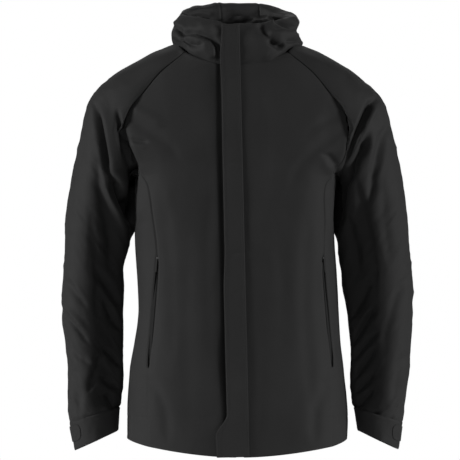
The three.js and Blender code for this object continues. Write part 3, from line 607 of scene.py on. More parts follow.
def seam_distances(u, v, width, height):
    """Distance of each grid point to the nearest edge of its panel, from shares u, v."""
    across = np.minimum(u, 1 - u) * width
    down = np.minimum(v, 1 - v) * height
    return np.minimum(across, down)


def dressed(points, hint, sink, distance):
    """Drapes a grid of points, sinks its seam edges and gives the final points and normals."""
    normals = facing_normals(points, hint)
    points = drape(points, normals, step_up(distance, 0, SEAM_HOLD)) - normals * sink[..., None]
    return points, facing_normals(points, hint)


FRONT_WIDE, BACK_WIDE, SIDE_WIDE = 150.0, 330.0, 190.0      # usual widths of the panels
BODY_TALL, SIDE_TALL = 760.0, 490.0
SEAM_CLEAR = 0.2            # from a panel's edge to the line of its seam
SEAM_HOLD = 12.0            # a seam keeps the cloth even up to this distance
HEM_STITCH_Z = -663.0       # the row of stitches that holds the turned hem
LAP_CELLS = 4               # how many cells of a panel a lapped edge reaches under
LAP_DEPTH = 2.7             # how deep it lies there, below the panel's face
LAP_REACH = 22.0            # a point further than this from every panel is turned in instead


def lap_row(edge, normals, panels):
    """A row of points for each point of an edge, under the nearest of the neighbouring panels."""
    targets = [grid[LAP_CELLS:-LAP_CELLS, LAP_CELLS:-LAP_CELLS].reshape(-1, 3) for grid, _ in panels]
    facings = [facing[LAP_CELLS:-LAP_CELLS, LAP_CELLS:-LAP_CELLS].reshape(-1, 3) for _, facing in panels]
    targets, facings = np.concatenate(targets), np.concatenate(facings)
    row = []
    for point, normal in zip(edge, normals):
        away = np.linalg.norm(targets - point, axis=1)
        nearest = int(away.argmin())
        if away[nearest] < LAP_REACH:
            row.append(targets[nearest] - facings[nearest] * LAP_DEPTH)
        else:
            row.append(point - normal * LAP_DEPTH)
    return np.array(row)


def height_row(points, normals, z):
    """The points and normals where the columns of a panel's grid pass a height."""
    found = []
    for column in range(3, points.shape[1] - 3):
        order = np.argsort(points[:, column, 2])
        heights = points[order, column, 2]
        found.append([np.interp(z, heights, grid[order, column, k])
                      for grid in (points, normals) for k in range(3)])
    found = np.array(found)
    return found[:, :3], unit(found[:, 3:])


def hem_groove(z):
    return 0.4 * bump(z, HEM_STITCH_Z, 1.4)


def front_panel(side):
    """One front of the body, from the zip to the side panel's seam."""
    word = WORDS[side]
    u = spread(FRONT_WIDE)
    v = spread(BODY_TALL)
    at = v * NECK_END
    outer_x, outer_z = front_seam(side, at)
    (centre_z,) = keyed(FRONT_CENTRE, at)
    inner_x = zip_x(centre_z) + side * ZIP_OPENING
    gap = slit_half(outer_z)
    x = inner_x[:, None] + (outer_x - side * (gap + SEAM_CLEAR) - inner_x)[:, None] * u[None]
    z = centre_z[:, None] + (outer_z - centre_z)[:, None] * u[None] ** 1.7
    points = body_at(x, z, -1)
    distance = seam_distances(u[None], v[:, None], FRONT_WIDE, BODY_TALL)
    sewn = np.where((u[None] > 0.5) & (z < POCKET_FOOT), 0.15, 1)
    sink = seam_sink(distance) * sewn + hem_groove(z)
    if side == RIGHT:
        # the cloth dips beside the storm flap's free edge, most below the pockets' middle
        dip = 6.4 + 3.6 * bump(z, -565, 60) - 2.4 * step_up(z, -260, -120)
        sink = sink + dip * bump(x - zip_x(z), -19.5, 4.4 + 3.6 * bump(z, -565, 55))
    points, normals = dressed(points, (0, -1, 0), sink, distance)
    piece = cloth_piece(f"front_cloth_{word}", points, normals, SHELL_FACED)
    fit(piece, "root", "shell_fabric", f"front_panel_{word}")
    return points, normals


def back_panel():
    """The whole back of the body."""
    u = spread(BACK_WIDE)
    v = spread(BODY_TALL)
    at = v * NECK_END
    outer_x, outer_z = back_seam(LEFT, at)
    (centre_z,) = keyed(BACK_CENTRE, at)
    across = 2 * u[None] - 1
    x = across * (outer_x - SEAM_CLEAR)[:, None]
    z = centre_z[:, None] + (outer_z - centre_z)[:, None] * across ** 2
    points = body_at(x, z, 1)
    distance = seam_distances(u[None], v[:, None], BACK_WIDE, BODY_TALL)
    points, normals = dressed(points, (0, 1, 0), seam_sink(distance) + hem_groove(z), distance)
    piece = cloth_piece("back_cloth", points, normals, SHELL_FACED)
    fit(piece, "root", "shell_fabric", "back_panel")
    return points, normals


def underarm_height(share, seam_z):
    """The side panel's top edge, which the sleeve meets."""
    return seam_z - 5 * np.sin(np.pi * share)


def side_panel(side, front, back):
    """The panel under the arm, lapped under the front and the back."""
    word = WORDS[side]
    u = spread(SIDE_WIDE)
    v = spread(SIDE_TALL)
    at = v * JUNCTION
    front_x, front_z = front_seam(side, at)
    back_x, _ = back_seam(side, at)
    gap = slit_half(front_z)
    hem = 14 * (1 - step_up(v, 0, 0.12))
    z = front_z[:, None] + hem[:, None] * np.sin(np.pi * u[None])
    z = np.where(v[:, None] > 0.9, mix(z, underarm_height(u[None], front_z[:, None]),
                                       step_up(v[:, None], 0.9, 1)), z)
    from_x, to_x = np.abs(front_x) + gap + SEAM_CLEAR, np.abs(back_x) + SEAM_CLEAR
    points = side_at(side, from_x[:, None], to_x[:, None], u[None], z)
    distance = seam_distances(u[None], v[:, None], SIDE_WIDE, SIDE_TALL)
    sewn = np.where((u[None] < 0.5) & (z < POCKET_FOOT), 0.15, 1)
    points, normals = dressed(points, (side, 0, 0), seam_sink(distance) * sewn + hem_groove(z), distance)
    under_front = lap_row(points[:, 0], normals[:, 0], [front])
    turned_in = points[:, 0] - normals[:, 0] * LAP_DEPTH
    under_front = np.where(gap[:, None] > 0.3, turned_in, under_front)
    under_back = lap_row(points[:, -1], normals[:, -1], [back])
    lapped = np.concatenate([under_front[:, None], points, under_back[:, None]], 1)
    lapped_normals = np.concatenate([normals[:, :1], normals, normals[:, -1:]], 1)
    piece = cloth_piece(f"side_cloth_{word}", lapped, lapped_normals, SHELL_FACED)
    fit(piece, "root", "shell_fabric", f"side_panel_{word}")
    return points, normals


# ---- sleeves ----
# (outer |x|, outer z, inner |x|, inner z, half depth, middle y) from the armhole to the cuff's end
SLEEVE_RINGS = {
    RIGHT: [
        (233, -58, 190, -236, 78, 0), (264, -94, 191, -262, 75, 0), (280, -148, 192, -292, 72, 0),
        (290, -202, 192, -318, 70, 0), (300, -256, 193, -346, 68, 0), (308, -310, 199, -374, 65, -1),
        (310, -382, 204, -406, 62, -2), (314, -440, 203, -452, 60, -3), (313, -490, 203, -500, 58, -6),
        (307, -530, 204, -540, 55, -9), (303, -582, 204, -586, 52, -12), (303, -634, 207, -628, 49, -15),
        (300, -672, 210, -646, 46, -18), (291, -724, 212, -688, 42, -20),
    ],
    LEFT: [
        (229, -58, 186, -236, 78, 0), (263, -94, 186, -262, 75, 0), (281, -148, 185, -292, 72, 0),
        (292, -202, 183, -318, 70, 0), (302, -256, 182, -346, 68, 0), (309, -310, 185, -374, 65, -1),
        (314, -382, 189, -406, 62, -2), (318, -440, 196, -452, 60, -3), (315, -490, 202, -500, 58, -6),
        (312, -530, 206, -540, 55, -9), (309, -582, 206, -586, 52, -12), (303, -630, 208, -628, 49, -15),
        (299, -672, 211, -646, 46, -18), (291, -722, 218, -688, 42, -20),
    ],
}
CUFF_RING = 12              # where the cuff begins
CUFF_LAP = 0.13             # how much of the cuff the forearm's cloth reaches under
SLEEVE_BACK = 12.0          # how far the hanging sleeves stand back
INNER_HOLLOW = 20.0         # how far the front of their inner side sinks, which keeps it in shadow
ARMPIT_SLACK = 24.0         # how far the spare cloth behind the armpit reaches inwards
SLEEVE_COLUMNS = 144
SLEEVE_CELL = 2.8
SLEEVE_ROUND = 330.0        # length round a sleeve
ELBOW_SPLIT = -405.0        # the forearm's cloth begins here on the outer side
SHOULDER_NECK = (108.0, 8.0)


def ring_points(side, rings, at, turn):
    """Points round a sleeve ring: turn 0 is the outer side, positive turns go to the front."""
    keys = [(i, *ring) for i, ring in enumerate(rings)]
    top_x, top_z, low_x, low_z, half_depth, middle_y = keyed(keys, at)
    middle_x, middle_z = (top_x + low_x) / 2, (top_z + low_z) / 2
    reach_x, reach_z = (top_x - low_x) / 2, (top_z - low_z) / 2
    c, s = np.cos(turn), np.sin(turn)
    slack = bump(turn, math.radians(-146), math.radians(20))
    slack = slack * step_up(at, 0.1, 1) * (1 - step_up(at, 3.2, 4.4))
    x = side * (middle_x + reach_x * c - ARMPIT_SLACK * slack)
    hollow = INNER_HOLLOW * bump(turn, math.radians(122), math.radians(36)) * step_up(at, 2, 4.5)
    hollow = hollow * (1 - step_up(at, CUFF_RING - 1.5, CUFF_RING))
    y = middle_y + SLEEVE_BACK * step_up(at, 0, 3) - half_depth * s + hollow
    return np.stack([x, y, middle_z + reach_z * c], -1)


NECK_TURN, UNDERARM_TURN = 42.0, 156.0      # where the raglan seam starts and ends, in degrees
SEAM_TURNS = [(0, NECK_TURN), (1, 58), (2, 74), (3, 90), (4, 108), (5, 132), (6, UNDERARM_TURN)]


def cap_seam(side, turns):
    """The sleeve's inner edge: round the neck, down the raglan seams and under the arm."""
    points = np.zeros(turns.shape + (3,))
    for face in (-1, 1):
        degrees = np.degrees(turns) * -face
        mine = degrees >= 0 if face < 0 else degrees > 0
        seam = front_seam if face < 0 else back_seam
        rows = [(turn, NECK_END - i) for i, turn in SEAM_TURNS]
        (at,) = keyed(rows, np.clip(degrees, NECK_TURN, UNDERARM_TURN))
        x, z = seam(side, at)
        raglan = body_at(x, z, face)
        corner_x, corner_z = seam(side, np.array([NECK_END]))
        corner = body_at(corner_x, corner_z, face)[0]
        share = np.clip(degrees / NECK_TURN, 0, 1)
        neck = np.stack([
            mix(side * SHOULDER_NECK[0], corner[0], share ** 1.5),
            corner[1] * np.sin(share * np.pi / 2) ** 0.9,
            mix(SHOULDER_NECK[1], corner[2], share ** 1.3)], -1)
        front_x, front_z = front_seam(side, np.full(degrees.shape, JUNCTION))
        back_x, _ = back_seam(side, np.full(degrees.shape, JUNCTION))
        half = np.clip((degrees - UNDERARM_TURN) / (180 - UNDERARM_TURN), 0, 1) / 2
        round_side = half if face < 0 else 1 - half
        z_under = underarm_height(round_side, front_z)
        under = side_at(side, np.abs(front_x), np.abs(back_x), round_side, z_under)
        chosen = np.where((degrees < NECK_TURN)[..., None], neck, raglan)
        chosen = np.where((degrees > UNDERARM_TURN)[..., None], under, chosen)
        points = np.where(mine[..., None], chosen, points)
    return points


def sleeve_grid(side):
    """The whole sleeve from the raglan seam to the cuff as one closed grid."""
    turns = np.linspace(-np.pi, np.pi, SLEEVE_COLUMNS, endpoint=False)
    seam = cap_seam(side, turns)
    rings = SLEEVE_RINGS[side]
    armhole = ring_points(side, rings, np.zeros(SLEEVE_COLUMNS), turns)
    crown = mix(seam, armhole, 0.5)
    crown[:, 2] += 7 * np.clip(np.cos(turns), 0, 1)
    crown[:, 1] *= 1 + 0.06 * np.abs(np.sin(turns))
    stations = [seam, crown]
    steps = [*range(CUFF_RING), CUFF_RING + CUFF_LAP]
    stations += [ring_points(side, rings, np.full(SLEEVE_COLUMNS, float(i)), turns) for i in steps]
    stations = np.array(stations)
    keys = np.arange(len(stations))
    lengths = np.linalg.norm(np.diff(stations, axis=0), axis=-1).mean(1)
    counts = np.maximum((lengths / SLEEVE_CELL).astype(int), 2)
    at = np.concatenate([[0, 0.015, 0.035, 0.065, 0.11]] + [
        np.linspace(k, k + 1, n, endpoint=False)[(1 if k == 0 else 0):] + (0 if k else 0.06)
        for k, n in zip(keys[:-1], counts)] + [[len(stations) - 1.0]])
    at = np.unique(np.clip(at, 0, len(stations) - 1))
    values = keyed([(k, *stations[k].ravel()) for k in keys], at)
    points = np.stack(values, -1).reshape(len(at), SLEEVE_COLUMNS, 3)
    return points


def sleeve(side, panels):
    """The sleeve as two pieces of cloth, one down to the elbow and one from there to the cuff."""
    word = WORDS[side]
    points = sleeve_grid(side)
    normals = facing_normals(points, (side, 0, 0), True)
    from_seam = arc_lengths(points)
    to_end = from_seam[-1][None] - from_seam
    sink = seam_sink(from_seam) + 1.6 * (1 - step_up(to_end, 4, 9))
    settle = step_up(from_seam, 0, 12)
    crumple = wrinkles(points, side) * settle * step_up(from_seam, 60, 190)
    points = drape(points, normals, settle) + normals * (crumple - sink)[..., None]
    final = facing_normals(points, (side, 0, 0), True)
    # the cut between the two pieces lies where the sleeve's outer side reaches the split height
    cut = int(np.argmin(np.abs(points[:, SLEEVE_COLUMNS // 2, 2] - ELBOW_SPLIT)))
    wide = np.arange(SLEEVE_COLUMNS) * (SLEEVE_ROUND / SLEEVE_COLUMNS)
    uv = np.stack([np.broadcast_to(wide, from_seam.shape), from_seam], -1)
    tucked = np.concatenate([lap_row(points[0], final[0], panels)[None], points[: cut + 1]])
    tucked_uv = np.concatenate([uv[:1] - (0, 8), uv[: cut + 1]])
    upper = cloth_piece(f"sleeve_cloth_{word}", tucked, np.concatenate([final[:1], final[: cut + 1]]),
                        SHELL_FACED, wrap=True, uv=tucked_uv)
    lower = cloth_piece(f"forearm_cloth_{word}", points[cut:], final[cut:], SHELL_FACED,
                        wrap=True, uv=uv[cut:])
    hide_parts(*[f"{part}_{half}_{word}" for part in ("raglan", "sleeve_upper")
                         for half in ("front", "back")])
    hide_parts(f"sleeve_lower_front_{word}", f"sleeve_lower_back_{word}")
    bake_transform(upper)
    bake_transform(lower)
    return points, final


def net_surface(stations, rows, s_values, t_values):
    """Points of a smooth surface through a net of control points: stations along s, rows along t."""
    net = np.array(stations, float)
    across = np.stack(keyed([(k, *net[k].ravel()) for k in range(len(net))], s_values), -1)
    across = across.reshape(len(s_values), rows, 3)
    along = keyed([(k, *across[:, k].ravel()) for k in range(rows)], t_values)
    return np.stack(along, -1).reshape(len(t_values), len(s_values), 3)


# Sections of the collar and hood from the wearer's right front edge round the back to the left one.
# Each section runs from the neck seam up the outside, over the top and down the inside.
HOOD_NET = [
    [(-17.5, -93, -34), (-17.6, -93.4, -24), (-18, -92.4, 0), (-18.4, -91, 24), (-18.8, -89.6, 41),
     (-19, -86.6, 40), (-19, -85, 18), (-19, -84, -12)],
    [(-44, -89.5, -29), (-47, -92, -20), (-52, -95, 0), (-52, -89, 24), (-47, -76, 49), (-45, -71, 47),
     (-44, -69, 20), (-43, -68, -10)],
    [(-73, -75, -24), (-82, -81, -7), (-90, -79, 8), (-88, -68, 30), (-75, -50, 55), (-71, -45, 52),
     (-66, -43, 28), (-62, -42, 0)],
    [(-98, -40, -4), (-107, -44, 13), (-114, -39, 23), (-113, -28, 38), (-100, -10, 60), (-91, -3, 57),
     (-85, -1, 40), (-82, -2, 20)],
    [(-107, 10, -6), (-115, 10, 10), (-117, 12, 24), (-108, 18, 49), (-95, 30, 69), (-81, 36, 66),
     (-75, 38, 48), (-74, 38, 26)],
    [(-94, 70, -18), (-102, 79, 2), (-106, 84, 24), (-96, 80, 56), (-71, 70, 79), (-57, 61, 73),
     (-53, 60, 51), (-54, 62, 30)],
    [(-54, 94, -30), (-57, 106, -20), (-60, 111, 10), (-52, 105, 58), (-35, 92, 84.5), (-29, 77, 77),
     (-28, 74, 50), (-29, 76, 32)],
    [(2, 99, -38), (2, 111, -28), (2, 117, 6), (2, 111, 58), (2, 97, 84.5), (4, 82, 77), (5, 77, 49),
     (5, 79, 31)],
    [(56, 94, -30), (59, 106, -20), (62, 111, 10), (55, 105, 58), (36, 92, 84.5), (38, 77, 76),
     (40, 73, 50), (40, 75, 32)],
    [(94, 69, -18), (102, 77, 2), (107, 82, 22), (100, 78, 52), (80, 70, 73), (63, 60, 69), (58, 58, 50),
     (58, 60, 30)],
    [(108, 8, -6), (119, 4, 9), (107, 8, 27), (113, 14, 47), (105, 24, 60), (87, 34, 62), (79, 36, 47),
     (77, 36, 26)],
    [(98, -40, -4), (109, -46, 9), (106, -42, 25), (109, -30, 40), (96, -10, 55), (88, -3, 54),
     (84, -1, 40), (82, -2, 20)],
    [(76, -75, -20), (85, -82, -5), (89, -80, 12), (86, -68, 32), (71, -50, 49), (67, -45, 47),
     (64, -43, 28), (60, -42, 0)],
    [(48, -89.5, -28), (50, -92.5, -19), (53, -94, 1), (49, -88, 24), (41, -76, 43), (39, -71.5, 42),
     (38, -70, 20), (37, -69, -10)],
    [(-3.4, -93, -34), (-3.4, -93.4, -24), (-4, -92.4, 0), (-4.5, -91, 24), (-5, -89.6, 40.5),
     (-5, -86.6, 39.5), (-5, -85, 18), (-5, -84, -12)],
]
HOOD_ROWS = 8
HOOD_LAST = len(HOOD_NET) - 1
HOOD_STEP, HOOD_RISE = 28.0, 22.0       # usual length between two sections, and between two rows
HOOD_FREE = 99.0            # stands for no seam near
# Where the hood's panels meet, as places along the net, and the node each stands for.
HOOD_PANELS = [
    ("collar_cloth_right", 0.0, 3.3, "root", ("collar_front_right", "hood_front_right")),
    ("hood_side_cloth_right", 3.3, 6.0, "hood", ("hood_side_right",)),
    ("hood_centre_cloth", 6.0, 8.1, "hood", ("hood_centre", "hood_brim")),
    ("hood_side_cloth_left", 8.1, 10.7, "hood", ("hood_side_left",)),
    ("collar_cloth_left", 10.7, 14.0, "root", ("collar_front_left", "hood_front_left")),
]
HOOD_FOLDS = [  # (line in x, z), depth, width, lip
    ([(-118, 40), (-108, 35), (-97, 28)], 4, 4, -2),
    ([(-104, 33), (-96, 24), (-84, 27), (-66, 24), (-44, 14), (-34, 0), (-31, -22)], 6, 4.5, 3),
    ([(-100, 18), (-86, 4), (-72, 2), (-58, 4)], 5, 6, 0),
    ([(-76, 10), (-58, -2), (-40, -20)], -3, 8, 0),
    ([(-70, 42), (-40, 34), (-26, 22)], -2, 8, 0),
    ([(68, 46), (88, 37), (106, 29)], 3.5, 4, 2),
    ([(40, 44), (50, 26), (62, 14), (76, 2)], 4, 6, -2),
    ([(54, 20), (72, 24), (90, 23), (112, 20)], -4, 7, 0),
    ([(58, 13), (66, 6), (76, 0), (86, 2)], 7, 5, 0),
    ([(30, 20), (44, -6), (56, -18)], -2, 9, 0),
    ([(88, 10), (102, 10), (118, 12)], 4, 3, 0),
]
BAND_FOLDS = [
    ([(-88, 60), (-64, 66), (-40, 62)], 2.5, 5, 1.5),
    ([(-28, 70), (0, 76), (34, 72)], 1.5, 6, 0),
    ([(58, 60), (76, 58), (96, 54)], 2.5, 4, 1.5),
    ([(-24, 56), (6, 60), (30, 54)], 2, 5, 0),
]


def hood_push(points, row):
    """Folds of the front walls by their place in the front view, and of the band behind them."""
    x, y, z = points[..., 0], points[..., 1], points[..., 2]
    push = cloud(points, (26, 26, 22), 5.2) * 1.8 + cloud(points, (13, 13, 11), 1.7) * 0.9
    for folds, here in (
        (HOOD_FOLDS, step_up(-y, -22, 2) * step_up(4.2 - row, 0, 0.6)),
        (BAND_FOLDS, step_up(y, 20, 40) * step_up(row, 3.6, 4.2)),
    ):
        for line, depth, width, lip in folds:
            distance, share = line_distance(line, x, z)
            taper = np.clip(np.sin(np.pi * share) * 2 + 0.15, 0, 1)
            roll = bump(distance, math.copysign(width * 1.8, lip), width * 1.2) * abs(lip) if lip else 0
            push = push + here * taper * (roll - 1.4 * depth * bump(distance, 0, width))
    return push


def outward(points, normals):
    """Turns the normals so that the first rows face away from the neck."""
    middle = normals[points.shape[0] // 4, points.shape[1] // 2]
    away = points[points.shape[0] // 4, points.shape[1] // 2] - np.array([0, 20, 0])
    return normals if np.dot(middle[:2], away[:2]) > 0 else -normals


def hood_and_collar():
    """The collar's two fronts and the lowered hood's three panels, from the net."""
    t_values = np.concatenate([[0, 0.06, 0.14, 0.26], np.linspace(0.4, HOOD_ROWS - 1, 62)])
    for name, start, stop, body, nodes in HOOD_PANELS:
        shares = spread(HOOD_STEP * (stop - start), 2.6, (0, 0.6, 1.4, 2.6, 4.2))
        s_values = mix(start, stop, shares)
        points = net_surface(HOOD_NET, HOOD_ROWS, s_values, t_values)
        normals = outward(points, grid_normals(points))
        row = np.broadcast_to(t_values[:, None], points.shape[:2])
        from_start = (s_values - start) * HOOD_STEP if start > 0 else HOOD_FREE
        to_stop = (stop - s_values) * HOOD_STEP if stop < HOOD_LAST else HOOD_FREE
        sink = seam_sink(np.minimum(from_start, to_stop))[None]
        sink = sink + seam_sink(t_values * HOOD_RISE)[:, None]
        points = points + normals * (hood_push(points, row) - sink)[..., None]
        normals = outward(points, grid_normals(points))
        piece = cloth_piece(name, points, normals, SHELL_FACED, 1.4)
        if body == "root":
            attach(piece, "root")
        else:
            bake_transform(piece)
        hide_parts(*nodes)


def inner_neck():
    """The crumpled lining that shows below the hood's band at the back of the neck."""
    u = np.linspace(0, 1, 90)
    v = np.linspace(0, 1, 60)
    turn = mix(math.radians(-82), math.radians(82), u)
    x = 72 * np.sin(turn)[None] + 0 * v[:, None]
    top = 57 + 4 * np.sin(3.1 * turn) + 2 * np.cos(7 * turn)
    z = mix(-70, top[None], v[:, None] ** 0.8)
    y = 4 + (60 + 14 * (1 - v[:, None])) * np.cos(turn)[None]
    points = np.stack([x, y, z], -1)
    normals = facing_normals(points, (0, -1, 0))
    push = cloud(points, (17, 17, 8), 2.4) * 4.0 + cloud(points, (9, 9, 5), 6.1) * 1.6
    push = push * step_up(v, 0.5, 0.95)[:, None] + 4 * bump(v, 0.94, 0.05)[:, None]
    points = points + normals * push[..., None]
    normals = facing_normals(points, (0, -1, 0))
    piece = cloth_piece("neck_lining", points, normals, (LINING, LINING), 1.2)
    fit(piece, "root", "lining_fabric", "collar_back")


def front_frame(points):
    """Points given across the front, into it and up from the collar's top edge, placed in the jacket."""
    top = np.array([SEAM_TOP_X, -FRONT_TOP_DEPTH, COLLAR_TOP])
    foot = np.array([SEAM_HEM_X, -FRONT_HEM_DEPTH, HEM_Z])
    up = unit(top - foot)
    across = np.array([1.0, 0, 0])
    across = unit(across - across.dot(up) * up)
    inward = np.cross(up, across)
    points = np.asarray(points, float)
    return top + points[..., :1] * across + points[..., 1:2] * inward + points[..., 2:] * up


FRONT_LENGTH = math.dist((SEAM_TOP_X, FRONT_TOP_DEPTH, COLLAR_TOP), (SEAM_HEM_X, FRONT_HEM_DEPTH, HEM_Z))
FLAP_GROOVE = 6.2           # from the flap's edges to the groove beside each pair of rows
FLAP_SIDE_ROWS = (1.6, 7.0)             # rows of stitches: from both long edges,
FLAP_TOP_ROWS, FLAP_FOOT_ROW = (3.0, 9.0, 15.0), 14.0       # from the top and from the foot
FLAP_STAND = 4.2            # how far the flap stands off the line of the front
FLAP_EDGE = [(0, 4.2), (20, 3.4), (60, 0), (140, 1.5), (230, 0.4), (400, 0.2), (480, -3.0),
             (700, -2.6), (775, 0)]     # how far its free edge draws in, down its length
FLAP_CREASES = [            # line, depth, half width
    ([(22, -372), (8, -366), (-14, -374)], 1.0, 4), ([(4, -54), (-24, -60)], 0.7, 3),
    ([(8, -100), (-22, -104)], 0.7, 3), ([(12, -206), (-20, -210)], 0.7, 3),
    ([(18, -430), (-10, -446)], 0.6, 5), ([(20, -560), (-8, -548)], 0.6, 5),
]


def storm_flap():
    """The flap over the front zip, with its rows of stitches."""
    u = spread(FLAP_WIDTH, 1.7, (0, 0.5, 1.1, 1.9, 2.8))
    v = spread(FRONT_LENGTH, 3.4, (0, 0.5, 1.1, 1.9, 2.8))
    down = v * (FRONT_LENGTH - 1.0)
    from_foot = FRONT_LENGTH - down
    flare = FLAP_FLARE * step_up(-from_foot, -FLAP_FLARE_LENGTH - FLAP_FLARE_RISE, -FLAP_FLARE_LENGTH)
    (edge_shift,) = keyed(FLAP_EDGE, down)
    width = FLAP_WIDTH + flare - edge_shift
    x = -0.6 - u[None] * (width[:, None] - 0.6)
    lift = 1.2 * step_up(u, 0.72, 1.0)[None] * (0.6 + 0.4 * np.sin(down / 61.0))[:, None]
    y = -FLAP_STAND - lift - 0.5 * np.sin(np.pi * u)[None] + 0 * down[:, None]
    points = front_frame(np.stack([x, y, -down[:, None] + 0 * x], -1))
    normals = facing_normals(points, (0, -1, 0))
    waves = cloud(points, (30, 30, 60), 4.4) * 0.55 + cloud(points, (14, 14, 18), 8.8) * 0.2
    for line, depth, half in FLAP_CREASES:
        distance, share = line_distance(line, points[..., 0], points[..., 2])
        waves = waves - depth * bump(distance, 0, half) * np.clip(np.sin(np.pi * share) * 2, 0, 1)
    edge = np.minimum(u * FLAP_WIDTH, (1 - u) * FLAP_WIDTH)[None]
    ends = np.minimum(down, FRONT_LENGTH - down)[:, None]
    sink = seam_sink(np.minimum(edge, ends), 0.7, 0.9)
    groove = 0.35 * (bump(u * FLAP_WIDTH, FLAP_GROOVE, 0.9) + bump((1 - u) * FLAP_WIDTH, FLAP_GROOVE, 0.9))
    points = points + normals * (waves - sink - groove[None])[..., None]
    normals = facing_normals(points, (0, -1, 0))
    piece = cloth_piece("storm_flap_cloth", points, normals, (SHELL, SHELL), 1.9)
    fit(piece, "storm_flap", "shell_fabric", "storm_flap")
    rows = []
    for away in FLAP_SIDE_ROWS:
        for share in (away / FLAP_WIDTH, 1 - away / FLAP_WIDTH):
            column = int(np.argmin(np.abs(u - share)))
            rows.append((points[4:-4, column], normals[4:-4, column]))
    lines = [np.argmin(np.abs(down - away)) for away in FLAP_TOP_ROWS]
    for line in (*lines, np.argmin(np.abs(from_foot - FLAP_FOOT_ROW))):
        rows.append((points[line, 3:-3], normals[line, 3:-3]))
    stitches("storm_flap_stitches", rows, "storm_flap")


STITCH, STITCH_GAP, STITCH_HALF = 2.3, 0.9, 0.22    # a stitch's length, the gap after it, its half width


def stitches(name, rows, body):
    """Short raised threads along rows of (points, normals), merged in one piece."""
    vertices, faces = [], []
    for points, normals in rows:
        run = np.concatenate([[0], np.cumsum(np.linalg.norm(np.diff(points, axis=0), axis=1))])
        starts = np.arange(STITCH_GAP, run[-1] - STITCH, STITCH + STITCH_GAP)
        a, middle, b = (
            np.stack([np.interp(starts + STITCH * share, run, points[:, k]) for k in range(3)], -1)
            for share in (0, 0.5, 1))
        n = unit(np.stack([np.interp(starts + STITCH / 2, run, normals[:, k]) for k in range(3)], -1))
        side = unit(np.cross(unit(b - a), n)) * STITCH_HALF
        low, high = n * 0.02, n * STITCH_HALF * 1.3
        for i in range(len(starts)):
            base = len(vertices)
            vertices += [a[i] - side[i] * 0.6 + low[i], a[i] + side[i] * 0.6 + low[i],
                         middle[i] + side[i] + low[i], middle[i] + side[i] * 0.6 + high[i],
                         middle[i] - side[i] * 0.6 + high[i], middle[i] - side[i] + low[i],
                         b[i] - side[i] * 0.6 + low[i], b[i] + side[i] * 0.6 + low[i]]
            faces += [[base + k for k in face] for face in (
                (0, 1, 3, 4), (1, 2, 3, 3), (0, 4, 5, 5), (4, 3, 7, 6), (3, 2, 7, 7), (5, 4, 6, 6))]
    faces = [list(dict.fromkeys(face)) for face in faces]
    fit(new_mesh(name, vertices, faces, materials=(THREAD,)), body, "shell_fabric")


def cuff_puckers(points):
    """How far the gathered cuff stands off its plain rings."""
    return 0.1 + cloud(points, (16, 16, 40), 3.9) * 0.9 + cloud(points, (8, 8, 20), 5.5) * 0.35


TAB_TURNS = (-26, 52)       # from where the tab is sewn on the back to its tip, in degrees
PATCH_TURNS = (14, 52)
TAB_MIDDLE = 0.45           # place and half width along the cuff, as shares of its length
TAB_HALF = 0.26
TAB_TIP_SHARE = 0.14        # how much of the tab its rounded tip takes
TAB_LENGTH, TAB_WIDTH = 70.0, 24.0
TAB_BEND_CELLS = 7          # a peeling tab's column, counted in cells from the sewn end, whose middle point is found but not used


def cuff_strip(name, node, side, turns, lift, thick, materials, peels=False):
    """A strip on the cuff with a rounded tip at its last turn. One that peels is sewn at its first turn; it
    is baked in place rather than put on the forearm, and nothing here bends it.
    """
    u = spread(TAB_LENGTH, 2.6, (0, 0.6, 1.4))
    v = spread(TAB_WIDTH, 2.6, (0, 0.6, 1.4))
    tip = np.clip((u - 1 + TAB_TIP_SHARE) / TAB_TIP_SHARE, 0, 1)
    half = TAB_HALF * np.sqrt(1 - 0.85 * tip ** 2)
    around = np.radians(mix(*turns, u))
    at = CUFF_RING + TAB_MIDDLE + (2 * v[:, None] - 1) * half[None]
    points = ring_points(side, SLEEVE_RINGS[side], at, np.broadcast_to(around, at.shape))
    normals = facing_normals(points, (side, 0, 0))
    edge = seam_distances(u[None], v[:, None], TAB_LENGTH, TAB_WIDTH)
    points = points + normals * (cuff_puckers(points) + lift - 0.4 * bump(edge, 0, 0.9))[..., None]
    piece = cloth_piece(name, points, normals, materials, thick)
    forearm = f"forearm_{WORDS[side]}"
    if peels:
        sewn, free = points[:, 0].mean(0) * MM, points[:, TAB_BEND_CELLS].mean(0) * MM
        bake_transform(piece)
    else:
        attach(piece, forearm)
    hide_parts(node)


CUFF_COLUMNS = 112
CUFF_LENGTH = 44.0
CUFF_ROUND = 300.0          # length round the cuff
CUFF_STITCH = 30.0          # the row of stitches, from the cuff's upper edge


